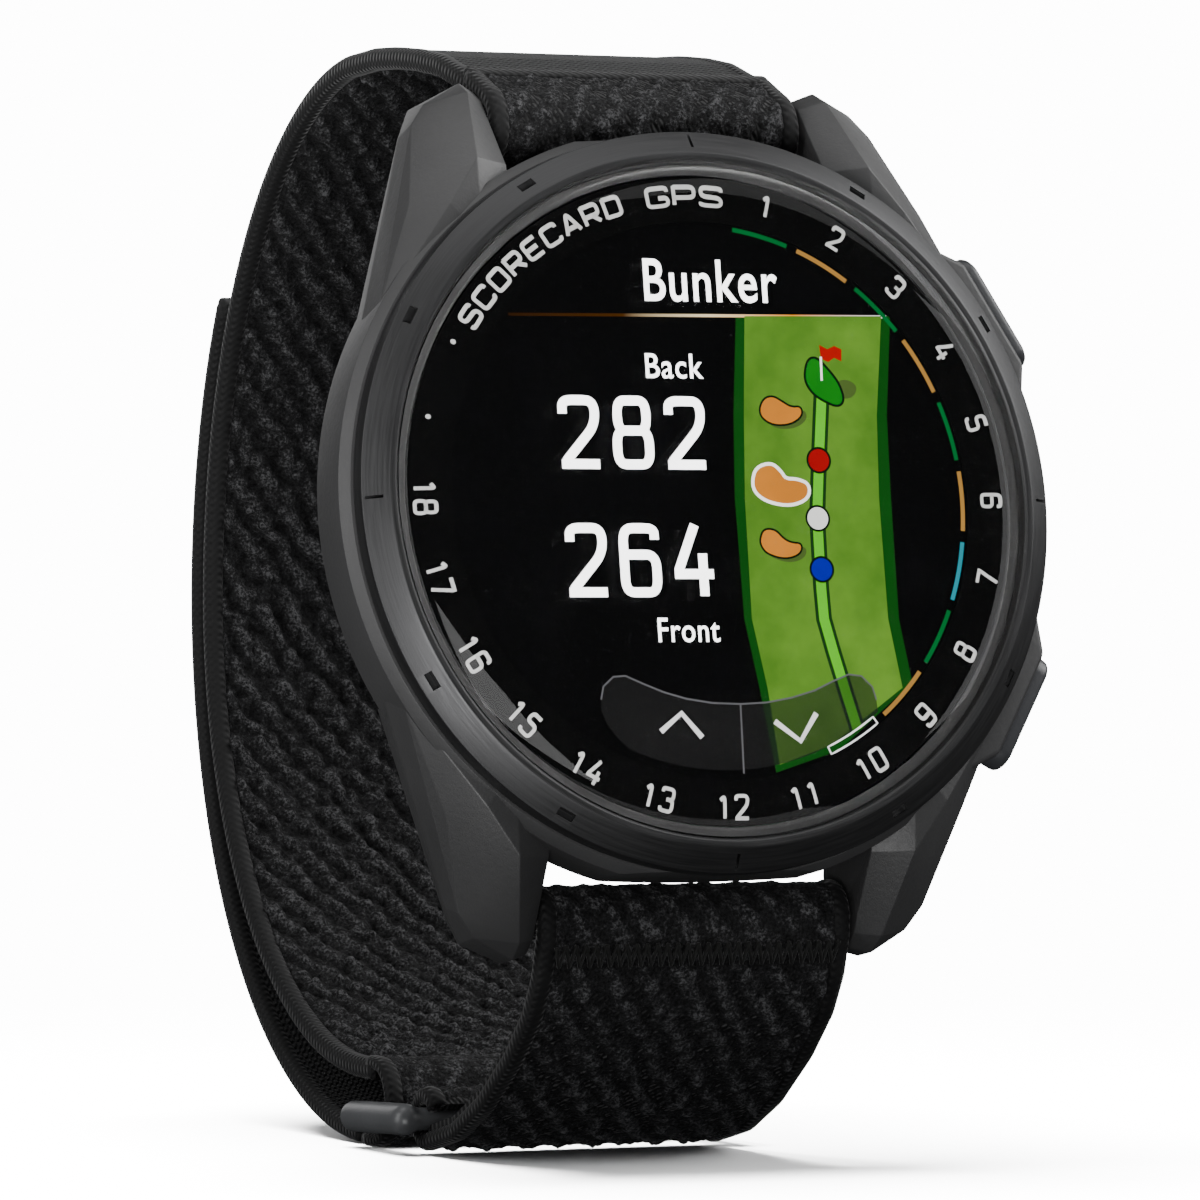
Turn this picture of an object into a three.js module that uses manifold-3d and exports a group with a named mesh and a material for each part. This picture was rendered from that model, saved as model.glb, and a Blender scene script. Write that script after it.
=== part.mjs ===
// A round golf GPS watch on a woven hook-and-loop strap, standing on the bottom of its closed loop.
// Millimetres, +Z up, the dial facing -Y. The origin is the middle of the space for the wrist.
import * as THREE from "three";
import { ConvexGeometry } from "three/addons/geometries/ConvexGeometry.js";
import { mergeVertices } from "three/addons/utils/BufferGeometryUtils.js";
import Module from "manifold-3d";

const wasm = await Module();
wasm.setup();

// ---- Driving dimensions -------------------------------------------------------------------

const TILT = THREE.MathUtils.degToRad(9); // the head leans back, 12 o'clock end away
const FACE_Y = -34; // middle of the bezel's front plane, from the wrist's middle
const FACE_Z = 5.5;

const BEZEL_R = 21.5;
const BEZEL_IN_R = 19.6;
const LEDGE_R = 18.6;
const BEZEL_DEPTH = 2.2;
const BEZEL_FALL = 0.95; // how far the chamfer drops from the lip to the rim
const LENS_R = 19.4;
const LENS_BOTTOM = -1.1;
const LENS_TOP = 0.4;
const DISPLAY_R = 16.1;
const DIAL_R = 18.4;

const CASE_R = 22.1;
const CASE_TOP = -2.3;
const CASE_BOTTOM = -8.6;
const CASE_FLAT = 21.2; // from the middle to the flats between the lugs
const BORE_R = 19.2;
const COVER_R = 20.3;
const COVER_BOTTOM = -10.6;
const WINDOW_R = 7.2;
const WINDOW_BOTTOM = -11.2;
const PORT_Y = -12.6;
const SCREW_R = 17.6; // screws of the rear cover, from its middle
const SCREW_ANGLES = [45, 135, 225, 315];

const LUG_IN = 10.1; // half the 20.2 mm between the lugs
const BAR_Y = 23.2; // spring bars, from the middle of the head
const BAR_Z = -8.6;
const BAR_R = 0.9;
const TIP_R = 0.45;
const TIP_REACH = 1.5; // how far a bar's tip stands in its lug
const RELEASE = 1.7; // travel of the quick release

const BUTTON_ANGLES = { upper: 60, lower: 120 }; // clockwise from 12 o'clock
const BUTTON_Z = -5.1;
const STEM_R = 0.8;

const STRAP_W = 19.6;
const STRAP_T = 1.4;
const ROLL_R = 2.1; // strap wrapped round a spring bar
const LOOP_Y = 30.3; // middle of the strap's loop, behind the face
const LOOP_Z = -5.6;
const LOOP_DEPTH = 27.3; // middle of the loop to the strap's outer face, at the back
const LOOP_RISE = 32.9; // and at the top
const LOOP_DROP = 29.1; // and at the bottom, where it lifts to pass through the buckle
const TAIL_DEPTH = 29.4; // the folded-back end, outside the strap
const TAIL_DROP = 33.0;
const RING_FRONT = [20.7, -36.5]; // the buckle's two bars, behind and below the face
const RING_REAR = [28.6, -36.8];
const RING_BAR_R = 0.7;
const RING_SIDE_X = 10.8;
const WRAP_T = 0.85; // the fabric where it is pulled round a bar of the buckle

const AROUND = 48; // facets round the head's large rings
const GAP = 0.06; // between pieces that touch

// ---- Materials ------------------------------------------------------------------------------

const finish = (color, roughness, metalness, extra = {}) =>
  new THREE.MeshStandardMaterial({ color, roughness, metalness, ...extra });

const FINISH = {
  polymer: finish(0x2c2d2f, 0.55, 0),
  bezel: finish(0x141517, 0.32, 1),
  glass: finish(0x0a0b0c, 0.05, 0, { transparent: true, opacity: 0.35 }),
  screen: finish(0x050505, 0.2, 0, { emissive: 0x1d3d16 }),
  ink: finish(0x08090a, 0.4, 0),
  rubber: finish(0x151515, 0.8, 0),
  steel: finish(0xb9bcc0, 0.25, 1),
  gold: finish(0xc9a24a, 0.3, 1),
  board: finish(0x123a24, 0.6, 0),
  foil: finish(0x9aa0a6, 0.4, 0.8),
  ceramic: finish(0xd8d2c4, 0.5, 0),
  strap: finish(0x121213, 0.95, 0),
  buckle: finish(0x3a3c3f, 0.45, 0),
};

// ---- Solids ---------------------------------------------------------------------------------

// A closed three.js geometry as a solid with its faces pointing out.
function solid(geometry) {
  const bare = geometry.clone();
  bare.deleteAttribute("normal");
  bare.deleteAttribute("uv");
  const merged = mergeVertices(bare, 1e-4);
  const make = (triVerts) =>
    new wasm.Manifold(
      new wasm.Mesh({ numProp: 3, vertProperties: merged.attributes.position.array, triVerts }),
    );
  const triVerts = new Uint32Array(merged.index.array);
  const made = make(triVerts);
  if (made.volume() > 0) return made;
  for (let i = 0; i < triVerts.length; i += 3) {
    [triVerts[i + 1], triVerts[i + 2]] = [triVerts[i + 2], triVerts[i + 1]];
  }
  return make(triVerts);
}

function geometryOf(made) {
  const { numProp, numVert, vertProperties, triVerts } = made.getMesh();
  const positions = new Float32Array(numVert * 3);
  for (let i = 0; i < numVert; i++) {
    positions.set(vertProperties.subarray(i * numProp, i * numProp + 3), i * 3);
  }
  const geometry = new THREE.BufferGeometry();
  geometry.setAttribute("position", new THREE.BufferAttribute(positions, 3));
  geometry.setIndex(new THREE.BufferAttribute(triVerts, 1));
  geometry.computeVertexNormals();
  return geometry;
}

// A profile of [radius, height] pairs turned about Z. A ring's profile closes on itself.
function turned(profile, around = AROUND) {
  const onAxis = profile[0][0] === 0;
  const points = (onAxis ? profile : [...profile, profile[0]]).map(([r, z]) => new THREE.Vector2(r, z));
  return solid(new THREE.LatheGeometry(points, around).rotateX(Math.PI / 2));
}

const ring = (inner, outer, bottom, top, around = AROUND) =>
  turned([[inner, bottom], [outer, bottom], [outer, top], [inner, top]], around);

const disc = (radius, bottom, top, around = AROUND) =>
  turned([[0, bottom], [radius, bottom], [radius, top], [0, top]], around);

const box = (sizes, centre) => solid(new THREE.BoxGeometry(...sizes).translate(...centre));

// A rod along X between two ends.
const rodX = (radius, from, to, y, z, around = 20) =>
  solid(
    new THREE.CylinderGeometry(radius, radius, to - from, around)
      .rotateZ(Math.PI / 2)
      .translate((from + to) / 2, y, z),
  );

// A plate with an outline in X and Y, between two heights.
function plate(outline, bottom, top) {
  const shape = new THREE.Shape(outline.map(([x, y]) => new THREE.Vector2(x, y)));
  const settings = { depth: top - bottom, bevelEnabled: false };
  return solid(new THREE.ExtrudeGeometry(shape, settings).translate(0, 0, bottom));
}

// An outline in Y and Z drawn out along X, about the middle.
function drawnAlongX(outline, width) {
  const shape = new THREE.Shape(outline.map(([y, z]) => new THREE.Vector2(y, z)));
  const geometry = new THREE.ExtrudeGeometry(shape, { depth: width, bevelEnabled: false });
  geometry.translate(0, 0, -width / 2);
  const across = new THREE.Matrix4().makeBasis(
    new THREE.Vector3(0, 1, 0),
    new THREE.Vector3(0, 0, 1),
    new THREE.Vector3(1, 0, 0),
  );
  return solid(geometry.applyMatrix4(across));
}

// A coil spring along +X from x = 0.
function coil(length, radius, wire, turns) {
  class Helix extends THREE.Curve {
    getPoint(t, target = new THREE.Vector3()) {
      const angle = t * turns * 2 * Math.PI;
      return target.set(t * length, radius * Math.cos(angle), radius * Math.sin(angle));
    }
  }
  const section = new THREE.Shape();
  section.absarc(0, 0, wire, 0, 2 * Math.PI);
  const settings = { steps: turns * 8, extrudePath: new Helix(), curveSegments: 3, bevelEnabled: false };
  return solid(new THREE.ExtrudeGeometry(section, settings));
}

const part = new THREE.Group();
const assembly = new THREE.Group();
assembly.position.set(0, FACE_Y, FACE_Z);
part.add(assembly);
const head = new THREE.Group(); // X to 3 o'clock, Y to 12 o'clock, Z out of the dial
head.rotation.x = Math.PI / 2 - TILT;
assembly.add(head);

function place(parent, name, material, made) {
  const mesh = new THREE.Mesh(geometryOf(made), FINISH[material]);
  mesh.name = name;
  parent.add(mesh);
  return mesh;
}

// A group in the head turned to an angle clockwise from 12 o'clock: its +X points outwards.
function outwards(angle, z) {
  const group = new THREE.Group();
  group.rotation.z = THREE.MathUtils.degToRad(90 - angle);
  group.position.z = z;
  head.add(group);
  return group;
}

const turnedTo = (made, angle) => made.rotate([0, 0, 90 - angle]);

// ---- Case body: a ring with four faceted lugs, bored for the buttons and the spring bars ----

// One lug, for the upper right; the others are its mirror images.
function lugGeometry(sideX, sideY) {
  const corners = [
    [LUG_IN, 15, -2.9], [LUG_IN, 20, -4.0], [LUG_IN, 24.4, -7.1], [LUG_IN, 25.1, -8.1],
    [LUG_IN, 25.1, -9.4], [LUG_IN, 24.2, -10.7], [LUG_IN, 20.5, -10.7], [LUG_IN, 14, CASE_BOTTOM],
    [12.4, 20.1, -2.8], [11.4, 24.7, -6.0], [11.3, 25.5, -7.4], [11.3, 25.5, -9.2], [14.4, 17.3, -2.35],
    [13.6, 24.2, -7.4], [13.7, 24.3, -9.6], [14.6, 22.9, -7.0], [15.0, 22.3, -8.2], [14.2, 22.8, -10.0],
    [15.4, 20.0, -5.4], [16.2, 17.6, -4.2], [17.0, 17.0, -6.2], [15.8, 17.6, -9.0],
    [19.0, 11.0, -2.9], [19.2, 11.0, -5.0], [18.6, 11.0, -7.6], [12.5, 15, CASE_TOP - 0.05],
  ];
  return new ConvexGeometry(
    corners.map(([x, y, z]) => new THREE.Vector3(sideX * x, sideY * y, z)),
  );
}

// The raised guard that carries a button, drawn out through the case wall.
function buttonGuard(angle) {
  const half = 4.3;
  const guard = plate(
    [[17, -half - 1.6], [21.6, -half - 1.3], [23.2, -half + 0.9], [23.2, half - 0.9],
      [21.6, half + 1.3], [17, half + 1.6]],
    -7.0, -3.0,
  );
  return turnedTo(guard, angle);
}

const pill = (length, height, from, to) => {
  const r = height / 2;
  const bar = box([to - from, length - height, height], [(from + to) / 2, 0, BUTTON_Z]);
  const end = (y) => rodX(r, from, to, y, BUTTON_Z, 16);
  return bar.add(end(length / 2 - r)).add(end(r - length / 2));
};

let caseBody = turned([
  [BORE_R, CASE_TOP], [CASE_R - 0.4, CASE_TOP], [CASE_R, CASE_TOP - 0.7], [CASE_R, -6.2],
  [CASE_R - 1.5, CASE_BOTTOM], [BORE_R, CASE_BOTTOM],
]);
for (const sideY of [-1, 1]) {
  caseBody = caseBody.subtract(box([16, 3, 10], [0, sideY * (CASE_FLAT + 1.5), -5.5]));
  for (const sideX of [-1, 1]) caseBody = caseBody.add(solid(lugGeometry(sideX, sideY)));
}
for (const angle of Object.values(BUTTON_ANGLES)) caseBody = caseBody.add(buttonGuard(angle));
caseBody = caseBody.subtract(disc(BORE_R, CASE_BOTTOM - 1, CASE_TOP + 1));
for (const angle of SCREW_ANGLES) {
  const boss = box([3.2, 3.2, 2.2], [SCREW_R + 0.4, 0, CASE_BOTTOM + 1.1]);
  const thread = disc(0.72, CASE_BOTTOM - 1, CASE_BOTTOM + 4, 12).translate([SCREW_R, 0, 0]);
  caseBody = caseBody.add(turnedTo(boss, angle)).subtract(turnedTo(thread, angle));
}
caseBody = caseBody.subtract(disc(COVER_R + GAP, CASE_BOTTOM - 3, CASE_BOTTOM));
for (const angle of Object.values(BUTTON_ANGLES)) {
  caseBody = caseBody.subtract(turnedTo(pill(7.7, 2.7, 21.9, 26), angle));
  caseBody = caseBody.subtract(turnedTo(rodX(STEM_R + 0.3, 17, 23, 0, BUTTON_Z), angle));
  caseBody = caseBody.subtract(turnedTo(rodX(1.5, 20.9, 23, 0, BUTTON_Z), angle));
}
for (const sideY of [-1, 1]) {
  for (const sideX of [-1, 1]) {
    const hole = [sideX * (LUG_IN - 0.6), sideX * (LUG_IN + TIP_REACH + 0.6)].sort((a, b) => a - b);
    caseBody = caseBody.subtract(rodX(TIP_R + 0.1, ...hole, sideY * BAR_Y, BAR_Z, 12));
  }
}
place(head, "case_body", "polymer", caseBody);

// ---- Bezel: a brushed ring with four hour lines and eight pockets in its chamfer ------------

let bezel = turned([
  [LEDGE_R, -BEZEL_DEPTH], [BEZEL_R, -BEZEL_DEPTH], [BEZEL_R, -BEZEL_FALL], [BEZEL_IN_R + 0.65, -0.1],
  [BEZEL_IN_R + 0.5, 0], [BEZEL_IN_R + 0.15, 0], [BEZEL_IN_R, -0.15],
  [BEZEL_IN_R, LENS_BOTTOM - 0.3], [LEDGE_R, LENS_BOTTOM - 0.3],
]);
for (let hour = 0; hour < 12; hour++) {
  const line = hour % 3 === 0;
  const mark = box(line ? [1.3, 0.16, 0.5] : [0.35, 1.0, 0.5], [line ? 20.95 : 20.8, 0, -0.5]);
  bezel = bezel.subtract(turnedTo(mark, hour * 30));
}
place(head, "bezel_ring", "bezel", bezel);

// ---- Front stack: lens, gasket, printed ring, display, frame ---------------------------------

place(head, "cover_lens", "glass", turned([
  [0, LENS_BOTTOM], [LENS_R - 0.1, LENS_BOTTOM], [LENS_R, LENS_BOTTOM + 0.1], [LENS_R, -0.2],
  [LENS_R - 0.3, 0.05], [LENS_R - 1.1, 0.28], [LENS_R - 2.2, LENS_TOP], [0, LENS_TOP],
]));
place(head, "lens_gasket", "rubber", ring(18.7, 19.3, LENS_BOTTOM - 0.24, LENS_BOTTOM - GAP));
place(head, "dial_ring", "ink", ring(DISPLAY_R, DIAL_R, LENS_BOTTOM - 0.28, LENS_BOTTOM - GAP));
place(head, "display_panel", "screen", disc(17.4, -2.3, -1.45));
place(head, "inner_frame", "polymer", ring(13.5, 18.3, -3.9, -2.4).subtract(
  box([9, 8, 4], [0, -17, -3.2]),
));

// The flat lead from the display, down through the frame's cut-out to the main board.
place(head, "display_lead", "gold", plate([[-3, -16.4], [3, -16.4], [3, -14.6], [-3, -14.6]], -4.1, -2.4));

// ---- Inside: board, battery, motor, antenna -------------------------------------------------

let board = disc(17.6, -5.0, -4.2).subtract(box([6, 4, 3], [0, 17, -4.6]));
for (const angle of Object.values(BUTTON_ANGLES)) {
  board = board.subtract(turnedTo(box([3, 4, 3], [17.6, 0, -4.6]), angle));
}
place(head, "main_board", "board", board);
place(head, "battery", "foil", box([17.6, 18.6, 3.1], [-3.2, 1.2, -6.7]));
place(head, "vibration_motor", "steel", disc(4, 0, 2.4, 24).translate([11.4, 3.4, -7.7]));
place(head, "gps_antenna", "ceramic", box([7, 7, 2], [10.1, -4.7, -6.3]));
place(head, "sensor_board", "board", disc(6.6, -9.5, -8.8, 24));

// ---- Rear: cover, gasket, screws, sensor window, charging port -------------------------------

const PORT = [7.4, 4.2];
let rearCover = turned([
  [0, CASE_BOTTOM - GAP], [COVER_R - 0.1, CASE_BOTTOM - GAP], [COVER_R - 0.1, -9.6],
  [COVER_R - 2.2, COVER_BOTTOM], [0, COVER_BOTTOM],
]);
rearCover = rearCover.subtract(disc(WINDOW_R + GAP, -12, -9.6));
rearCover = rearCover.subtract(disc(6.8, -11, -8));
rearCover = rearCover.subtract(ring(15.5, 16.4, -8.95, -8));
rearCover = rearCover.subtract(box([PORT[0] + 0.2, PORT[1] + 0.2, 5], [0, PORT_Y, -10]));
for (const angle of SCREW_ANGLES) {
  const hole = disc(0.75, -12, -8, 12).add(disc(1.35, -12, -9.9, 16)).translate([SCREW_R, 0, 0]);
  rearCover = rearCover.subtract(turnedTo(hole, angle));
}
place(head, "rear_cover", "polymer", rearCover);
place(head, "rear_gasket", "rubber", ring(15.6, 16.3, -8.9, -8.62));
place(head, "sensor_window", "glass", turned([
  [0, -9.66], [WINDOW_R, -9.66], [WINDOW_R, -10.7], [WINDOW_R - 0.9, -11.05], [WINDOW_R - 2.6, WINDOW_BOTTOM],
  [0, WINDOW_BOTTOM],
]));
SCREW_ANGLES.forEach((angle, i) => {
  const screw = disc(1.25, -10.3, -9.96, 16)
    .add(disc(0.65, -10, -7.0, 10))
    .subtract(disc(0.55, -11, -10.1, 6));
  place(head, "rear_screw_" + (i + 1), "steel", turnedTo(screw.translate([SCREW_R, 0, 0]), angle));
});
const pinX = (i) => (i - 1.5) * 1.5;
let port = box([...PORT, 1.9], [0, PORT_Y, -9.65]).subtract(
  box([6.2, 3.0, 2], [0, PORT_Y, -11.1]),
);
for (let i = 0; i < 4; i++) {
  port = port.subtract(disc(0.42, -12, -8, 12).translate([pinX(i), PORT_Y, 0]));
}
place(head, "charge_port", "polymer", port);
for (let i = 0; i < 4; i++) {
  const pin = disc(0.36, -10.5, -8.3, 12).translate([pinX(i), PORT_Y, 0]);
  place(head, "charge_pin_" + (i + 1), "gold", pin);
}

// ---- Buttons: cap with its stem, seal, spring, clip and switch ------------------------------

for (const [name, angle] of Object.entries(BUTTON_ANGLES)) {
  const station = outwards(angle, 0);
  const cap = pill(7.4, 2.4, 22.7, 24.3).add(rodX(STEM_R, 17.9, 22.8, 0, BUTTON_Z, 16));
  place(station, name + "_button_cap", "polymer", cap.subtract(
    rodX(STEM_R + 0.1, 18.2, 18.5, 0, BUTTON_Z, 16).subtract(rodX(0.5, 18, 19, 0, BUTTON_Z, 16)),
  ));
  const seal = new THREE.Group();
  seal.rotation.y = Math.PI / 2;
  seal.position.set(0, 0, BUTTON_Z);
  station.add(seal);
  place(seal, name + "_button_seal", "rubber", ring(STEM_R + 0.04, STEM_R + 0.24, 19.6, 20.0, 16));
  place(seal, name + "_button_clip", "steel", ring(0.56, 1.05, 18.24, 18.46, 16));
  const spring = place(station, name + "_button_spring", "steel", coil(0.85, 1.15, 0.12, 2));
  spring.position.set(21.05, 0, BUTTON_Z);
  place(station, name + "_button_switch", "steel", box([0.7, 3.2, 1.9], [16.8, 0, BUTTON_Z]).add(
    rodX(0.5, 17.1, 17.25, 0, BUTTON_Z, 12),
  ));
}

// ---- Spring bars: tube, fixed tip, sliding tip with its release knob, spring ----------------

for (const [name, sideY] of [["upper", 1], ["lower", -1]]) {
  const y = sideY * BAR_Y;
  const tubeEnd = LUG_IN - 0.5;
  const slot = box([4.6, 0.9, 1.6], [-6.7, y, BAR_Z - 0.9]);
  const tube = rodX(BAR_R, -tubeEnd, tubeEnd, y, BAR_Z)
    .subtract(rodX(0.62, -tubeEnd - 1, 6, y, BAR_Z, 16))
    .subtract(rodX(0.5, 7.4, tubeEnd + 1, y, BAR_Z, 16))
    .subtract(slot);
  place(head, name + "_bar_tube", "steel", tube);
  place(head, name + "_bar_fixed_tip", "steel",
    rodX(TIP_R, 7.5, LUG_IN + TIP_REACH, y, BAR_Z, 12));
  const knob = box([0.8, 0.7, 2.3], [-7.9, y, BAR_Z - 1.1]).add(
    box([1.4, 1.5, 0.5], [-7.9, y, BAR_Z - 2.5]),
  );
  place(head, name + "_bar_sliding_tip", "steel",
    rodX(TIP_R, -LUG_IN - TIP_REACH, -6.6, y, BAR_Z, 12).add(knob));
  const spring = place(head, name + "_bar_spring", "steel", coil(8, 0.42, 0.1, 5));
  spring.position.set(-4.6, y, BAR_Z);
}

// ---- Strap: two lengths of woven loop fabric joined by the buckle ring -----------------------

// A point in the head's own Y and Z, as the strap sees it: behind and above the face.
const fromHead = (y, z) => [
  y * Math.sin(TILT) - z * Math.cos(TILT),
  y * Math.cos(TILT) + z * Math.sin(TILT),
];
const UPPER_BAR = fromHead(BAR_Y, BAR_Z);
const LOWER_BAR = fromHead(-BAR_Y, BAR_Z);

// Points on an ellipse about the loop's middle, between two angles from the back, top positive.
function loopArc(depth, rise, from, to, count) {
  return Array.from({ length: count + 1 }, (_, i) => {
    const angle = THREE.MathUtils.degToRad(from + ((to - from) * i) / count);
    return [LOOP_Y + depth * Math.cos(angle), LOOP_Z + rise * Math.sin(angle)];
  });
}

// A band of constant thickness whose outer face follows the given points. The wrist is on its left.
function band(outer, thickness) {
  const points = outer.map(([y, z]) => new THREE.Vector2(y, z));
  const inner = points.map((point, i) => {
    const ahead = points[Math.min(i + 1, points.length - 1)].clone();
    const along = ahead.sub(points[Math.max(i - 1, 0)]).normalize();
    return [point.x + along.y * thickness, point.y - along.x * thickness];
  });
  return drawnAlongX([...outer, ...inner.reverse()], STRAP_W);
}

const roll = ([y, z], radius) => rodX(radius, -STRAP_W / 2, STRAP_W / 2, y, z, 24);
const bore = ([y, z], radius) => rodX(radius, -STRAP_W, STRAP_W, y, z, 24);

// Room in the wrapped end for the release knob and its travel.
function knobNotch(sideY) {
  const notch = new THREE.BoxGeometry(RELEASE + 2.4, 2.2, 3.2);
  notch.translate(-8.9 + (RELEASE + 2.4) / 2, sideY * BAR_Y, BAR_Z - 1.9);
  return solid(notch.rotateX(Math.PI / 2 - TILT));
}

const clear = RING_BAR_R + 0.3;
const [barY, barZ] = UPPER_BAR;
const overTheTop = new THREE.SplineCurve([
  new THREE.Vector2(barY - 0.6, barZ + ROLL_R - 0.05),
  new THREE.Vector2(barY + 3.2, barZ + 3.7),
  new THREE.Vector2(LOOP_Y - 8.3, LOOP_Z + LOOP_RISE - 0.5),
  new THREE.Vector2(LOOP_Y - 1.5, LOOP_Z + LOOP_RISE),
]).getPoints(9).map(({ x, y }) => [x, y]);
const underBuckle = RING_REAR[1] - clear - WRAP_T;
const longOuter = [
  ...overTheTop,
  ...loopArc(LOOP_DEPTH, LOOP_RISE, 86, 8, 14),
  ...loopArc(LOOP_DEPTH, LOOP_DROP, 0, -90, 16),
  [RING_REAR[0] - 0.1, LOOP_Z - LOOP_DROP - 0.02],
];
const foldMiddle = [RING_REAR[0], (LOOP_Z - LOOP_DROP + STRAP_T + underBuckle) / 2];
const foldOuter = (LOOP_Z - LOOP_DROP + STRAP_T - underBuckle) / 2;
const foldHalf = Array.from({ length: 13 }, (_, i) => Math.PI / 2 + (Math.PI * i) / 12);
const foldOutline = [
  ...foldHalf.map((a) => [foldMiddle[0] + foldOuter * Math.cos(a), foldMiddle[1] + foldOuter * Math.sin(a)]),
  [foldMiddle[0] + 1.6, underBuckle],
  [foldMiddle[0] + 1.6, underBuckle + WRAP_T],
  ...foldHalf.reverse().map((a) => [
    foldMiddle[0] + (foldOuter - WRAP_T) * Math.cos(a), foldMiddle[1] + (foldOuter - WRAP_T) * Math.sin(a),
  ]),
];
place(assembly, "long_strap", "strap", band(longOuter, STRAP_T)
  .add(roll(UPPER_BAR, ROLL_R))
  .add(drawnAlongX(foldOutline, STRAP_W))
  .subtract(bore(RING_REAR, clear))
  .subtract(bore(UPPER_BAR, BAR_R + 0.12))
  .subtract(knobNotch(1)));

const tailOuter = [
  ...loopArc(TAIL_DEPTH, LOOP_RISE + 1.3, 33, 3, 8),
  ...loopArc(TAIL_DEPTH, TAIL_DROP, 0, -89.4, 18),
];
place(assembly, "strap_tail", "strap", band(tailOuter, 1.2));
const patchOuter = loopArc(TAIL_DEPTH - 1.28, LOOP_RISE + 0.02, 31, 4, 7);
place(assembly, "hook_patch", "strap", band(patchOuter, 0.4).intersect(
  box([17, 100, 100], [0, LOOP_Y, LOOP_Z]),
));

const [lowY, lowZ] = LOWER_BAR;
const underTheChin = new THREE.SplineCurve([
  new THREE.Vector2(RING_FRONT[0] - 0.1, RING_FRONT[1] - clear - WRAP_T),
  new THREE.Vector2(16.2, -37.4),
  new THREE.Vector2(12.0, -35.5),
  new THREE.Vector2(7.8, -32.6),
  new THREE.Vector2(3.7, -28.9),
  new THREE.Vector2(lowY - ROLL_R - 0.1, lowZ + 0.1),
]).getPoints(16).map(({ x, y }) => [x, y]);
place(assembly, "short_strap", "strap", band(underTheChin, STRAP_T)
  .add(roll(LOWER_BAR, ROLL_R))
  .add(roll(RING_FRONT, clear + WRAP_T))
  .subtract(bore(RING_FRONT, clear))
  .subtract(bore(LOWER_BAR, BAR_R + 0.12))
  .subtract(knobNotch(-1)));

// The buckle: one closed loop of round-edged bar, between the ends of the two straps.
const ringSide = (x) => {
  const length = RING_REAR[0] - RING_FRONT[0];
  const side = new THREE.CapsuleGeometry(0.95, length, 4, 12);
  side.scale(0.9, 1, 1);
  side.rotateX(Math.atan2(RING_REAR[1] - RING_FRONT[1], length));
  return solid(side.translate(
    x, (RING_FRONT[0] + RING_REAR[0]) / 2, (RING_FRONT[1] + RING_REAR[1]) / 2,
  ));
};
const ringBar = ([y, z]) => rodX(RING_BAR_R, -RING_SIDE_X, RING_SIDE_X, y, z, 16);
place(assembly, "buckle_ring", "buckle", ringBar(RING_FRONT)
  .add(ringBar(RING_REAR))
  .add(ringSide(-RING_SIDE_X))
  .add(ringSide(RING_SIDE_X)));

export default part;
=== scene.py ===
import math

import bpy
import numpy as np
from mathutils import Matrix, Vector


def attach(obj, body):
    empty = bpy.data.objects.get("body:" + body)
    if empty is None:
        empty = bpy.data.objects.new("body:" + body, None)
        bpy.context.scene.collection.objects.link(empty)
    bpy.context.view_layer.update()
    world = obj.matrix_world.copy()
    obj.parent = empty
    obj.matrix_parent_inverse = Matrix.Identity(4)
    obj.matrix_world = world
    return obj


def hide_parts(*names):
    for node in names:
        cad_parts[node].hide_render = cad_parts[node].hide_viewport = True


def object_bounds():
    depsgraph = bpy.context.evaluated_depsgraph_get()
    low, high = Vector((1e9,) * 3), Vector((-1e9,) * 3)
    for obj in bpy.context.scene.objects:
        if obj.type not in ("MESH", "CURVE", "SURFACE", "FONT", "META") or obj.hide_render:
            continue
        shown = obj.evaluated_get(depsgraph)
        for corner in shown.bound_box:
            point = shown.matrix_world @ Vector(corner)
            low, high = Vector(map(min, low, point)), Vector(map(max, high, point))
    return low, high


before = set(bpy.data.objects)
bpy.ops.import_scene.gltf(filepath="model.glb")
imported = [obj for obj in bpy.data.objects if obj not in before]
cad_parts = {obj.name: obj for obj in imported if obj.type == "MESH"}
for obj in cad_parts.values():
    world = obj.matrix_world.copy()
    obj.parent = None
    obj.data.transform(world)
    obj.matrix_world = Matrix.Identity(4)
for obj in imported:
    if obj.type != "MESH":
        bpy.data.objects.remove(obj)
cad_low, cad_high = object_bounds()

# ---- Camera -----------------------------------------------------------------------------------
# A long lens at wrist height, a little to the 9 o'clock side of the watch.

camera_data = bpy.data.cameras.new("camera")
camera_data.sensor_width = 36
camera_data.lens = 226.1
camera_data.clip_start = 0.01
camera_data.clip_end = 20
camera = bpy.data.objects.new("camera", camera_data)
bpy.context.scene.collection.objects.link(camera)
camera_aim = Vector((-0.00615, -0.03131, -0.00036))
camera_reach = 0.430
camera.location = camera_aim + camera_reach * Vector((-0.4012, -0.9160, 0))
camera.rotation_euler = (camera_aim - camera.location).to_track_quat("-Z", "Y").to_euler()
bpy.context.scene.camera = camera

# ---- Studio: pale floor, white room, softboxes --------------------------------------------------
# Five lamps stand round the watch on a pale floor. The room is white to the eye, gives little
# light of its own and is nearly black in reflections. The floor fades out into it.


def settle(shader, values):
    """Sets the values of a node's own sockets."""
    for socket, value in values.items():
        shader.inputs[socket].default_value = value


def node(tree, kind, values=(), **choices):
    """A new shader node, with its sockets and choices set."""
    made = tree.nodes.new("ShaderNode" + kind)
    for choice, value in choices.items():
        setattr(made, choice, value)
    settle(made, dict(values))
    return made


def wire(tree, *links):
    """Links nodes: each link is a node and its output, then a node and its input."""
    for source, output, target, socket in links:
        tree.links.new(source.outputs[output], target.inputs[socket])


def fix_place():
    """Moves the place, turn and scale of the piece in hand into its mesh."""
    bpy.ops.object.transform_apply(location=True, rotation=True, scale=True)


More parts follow.
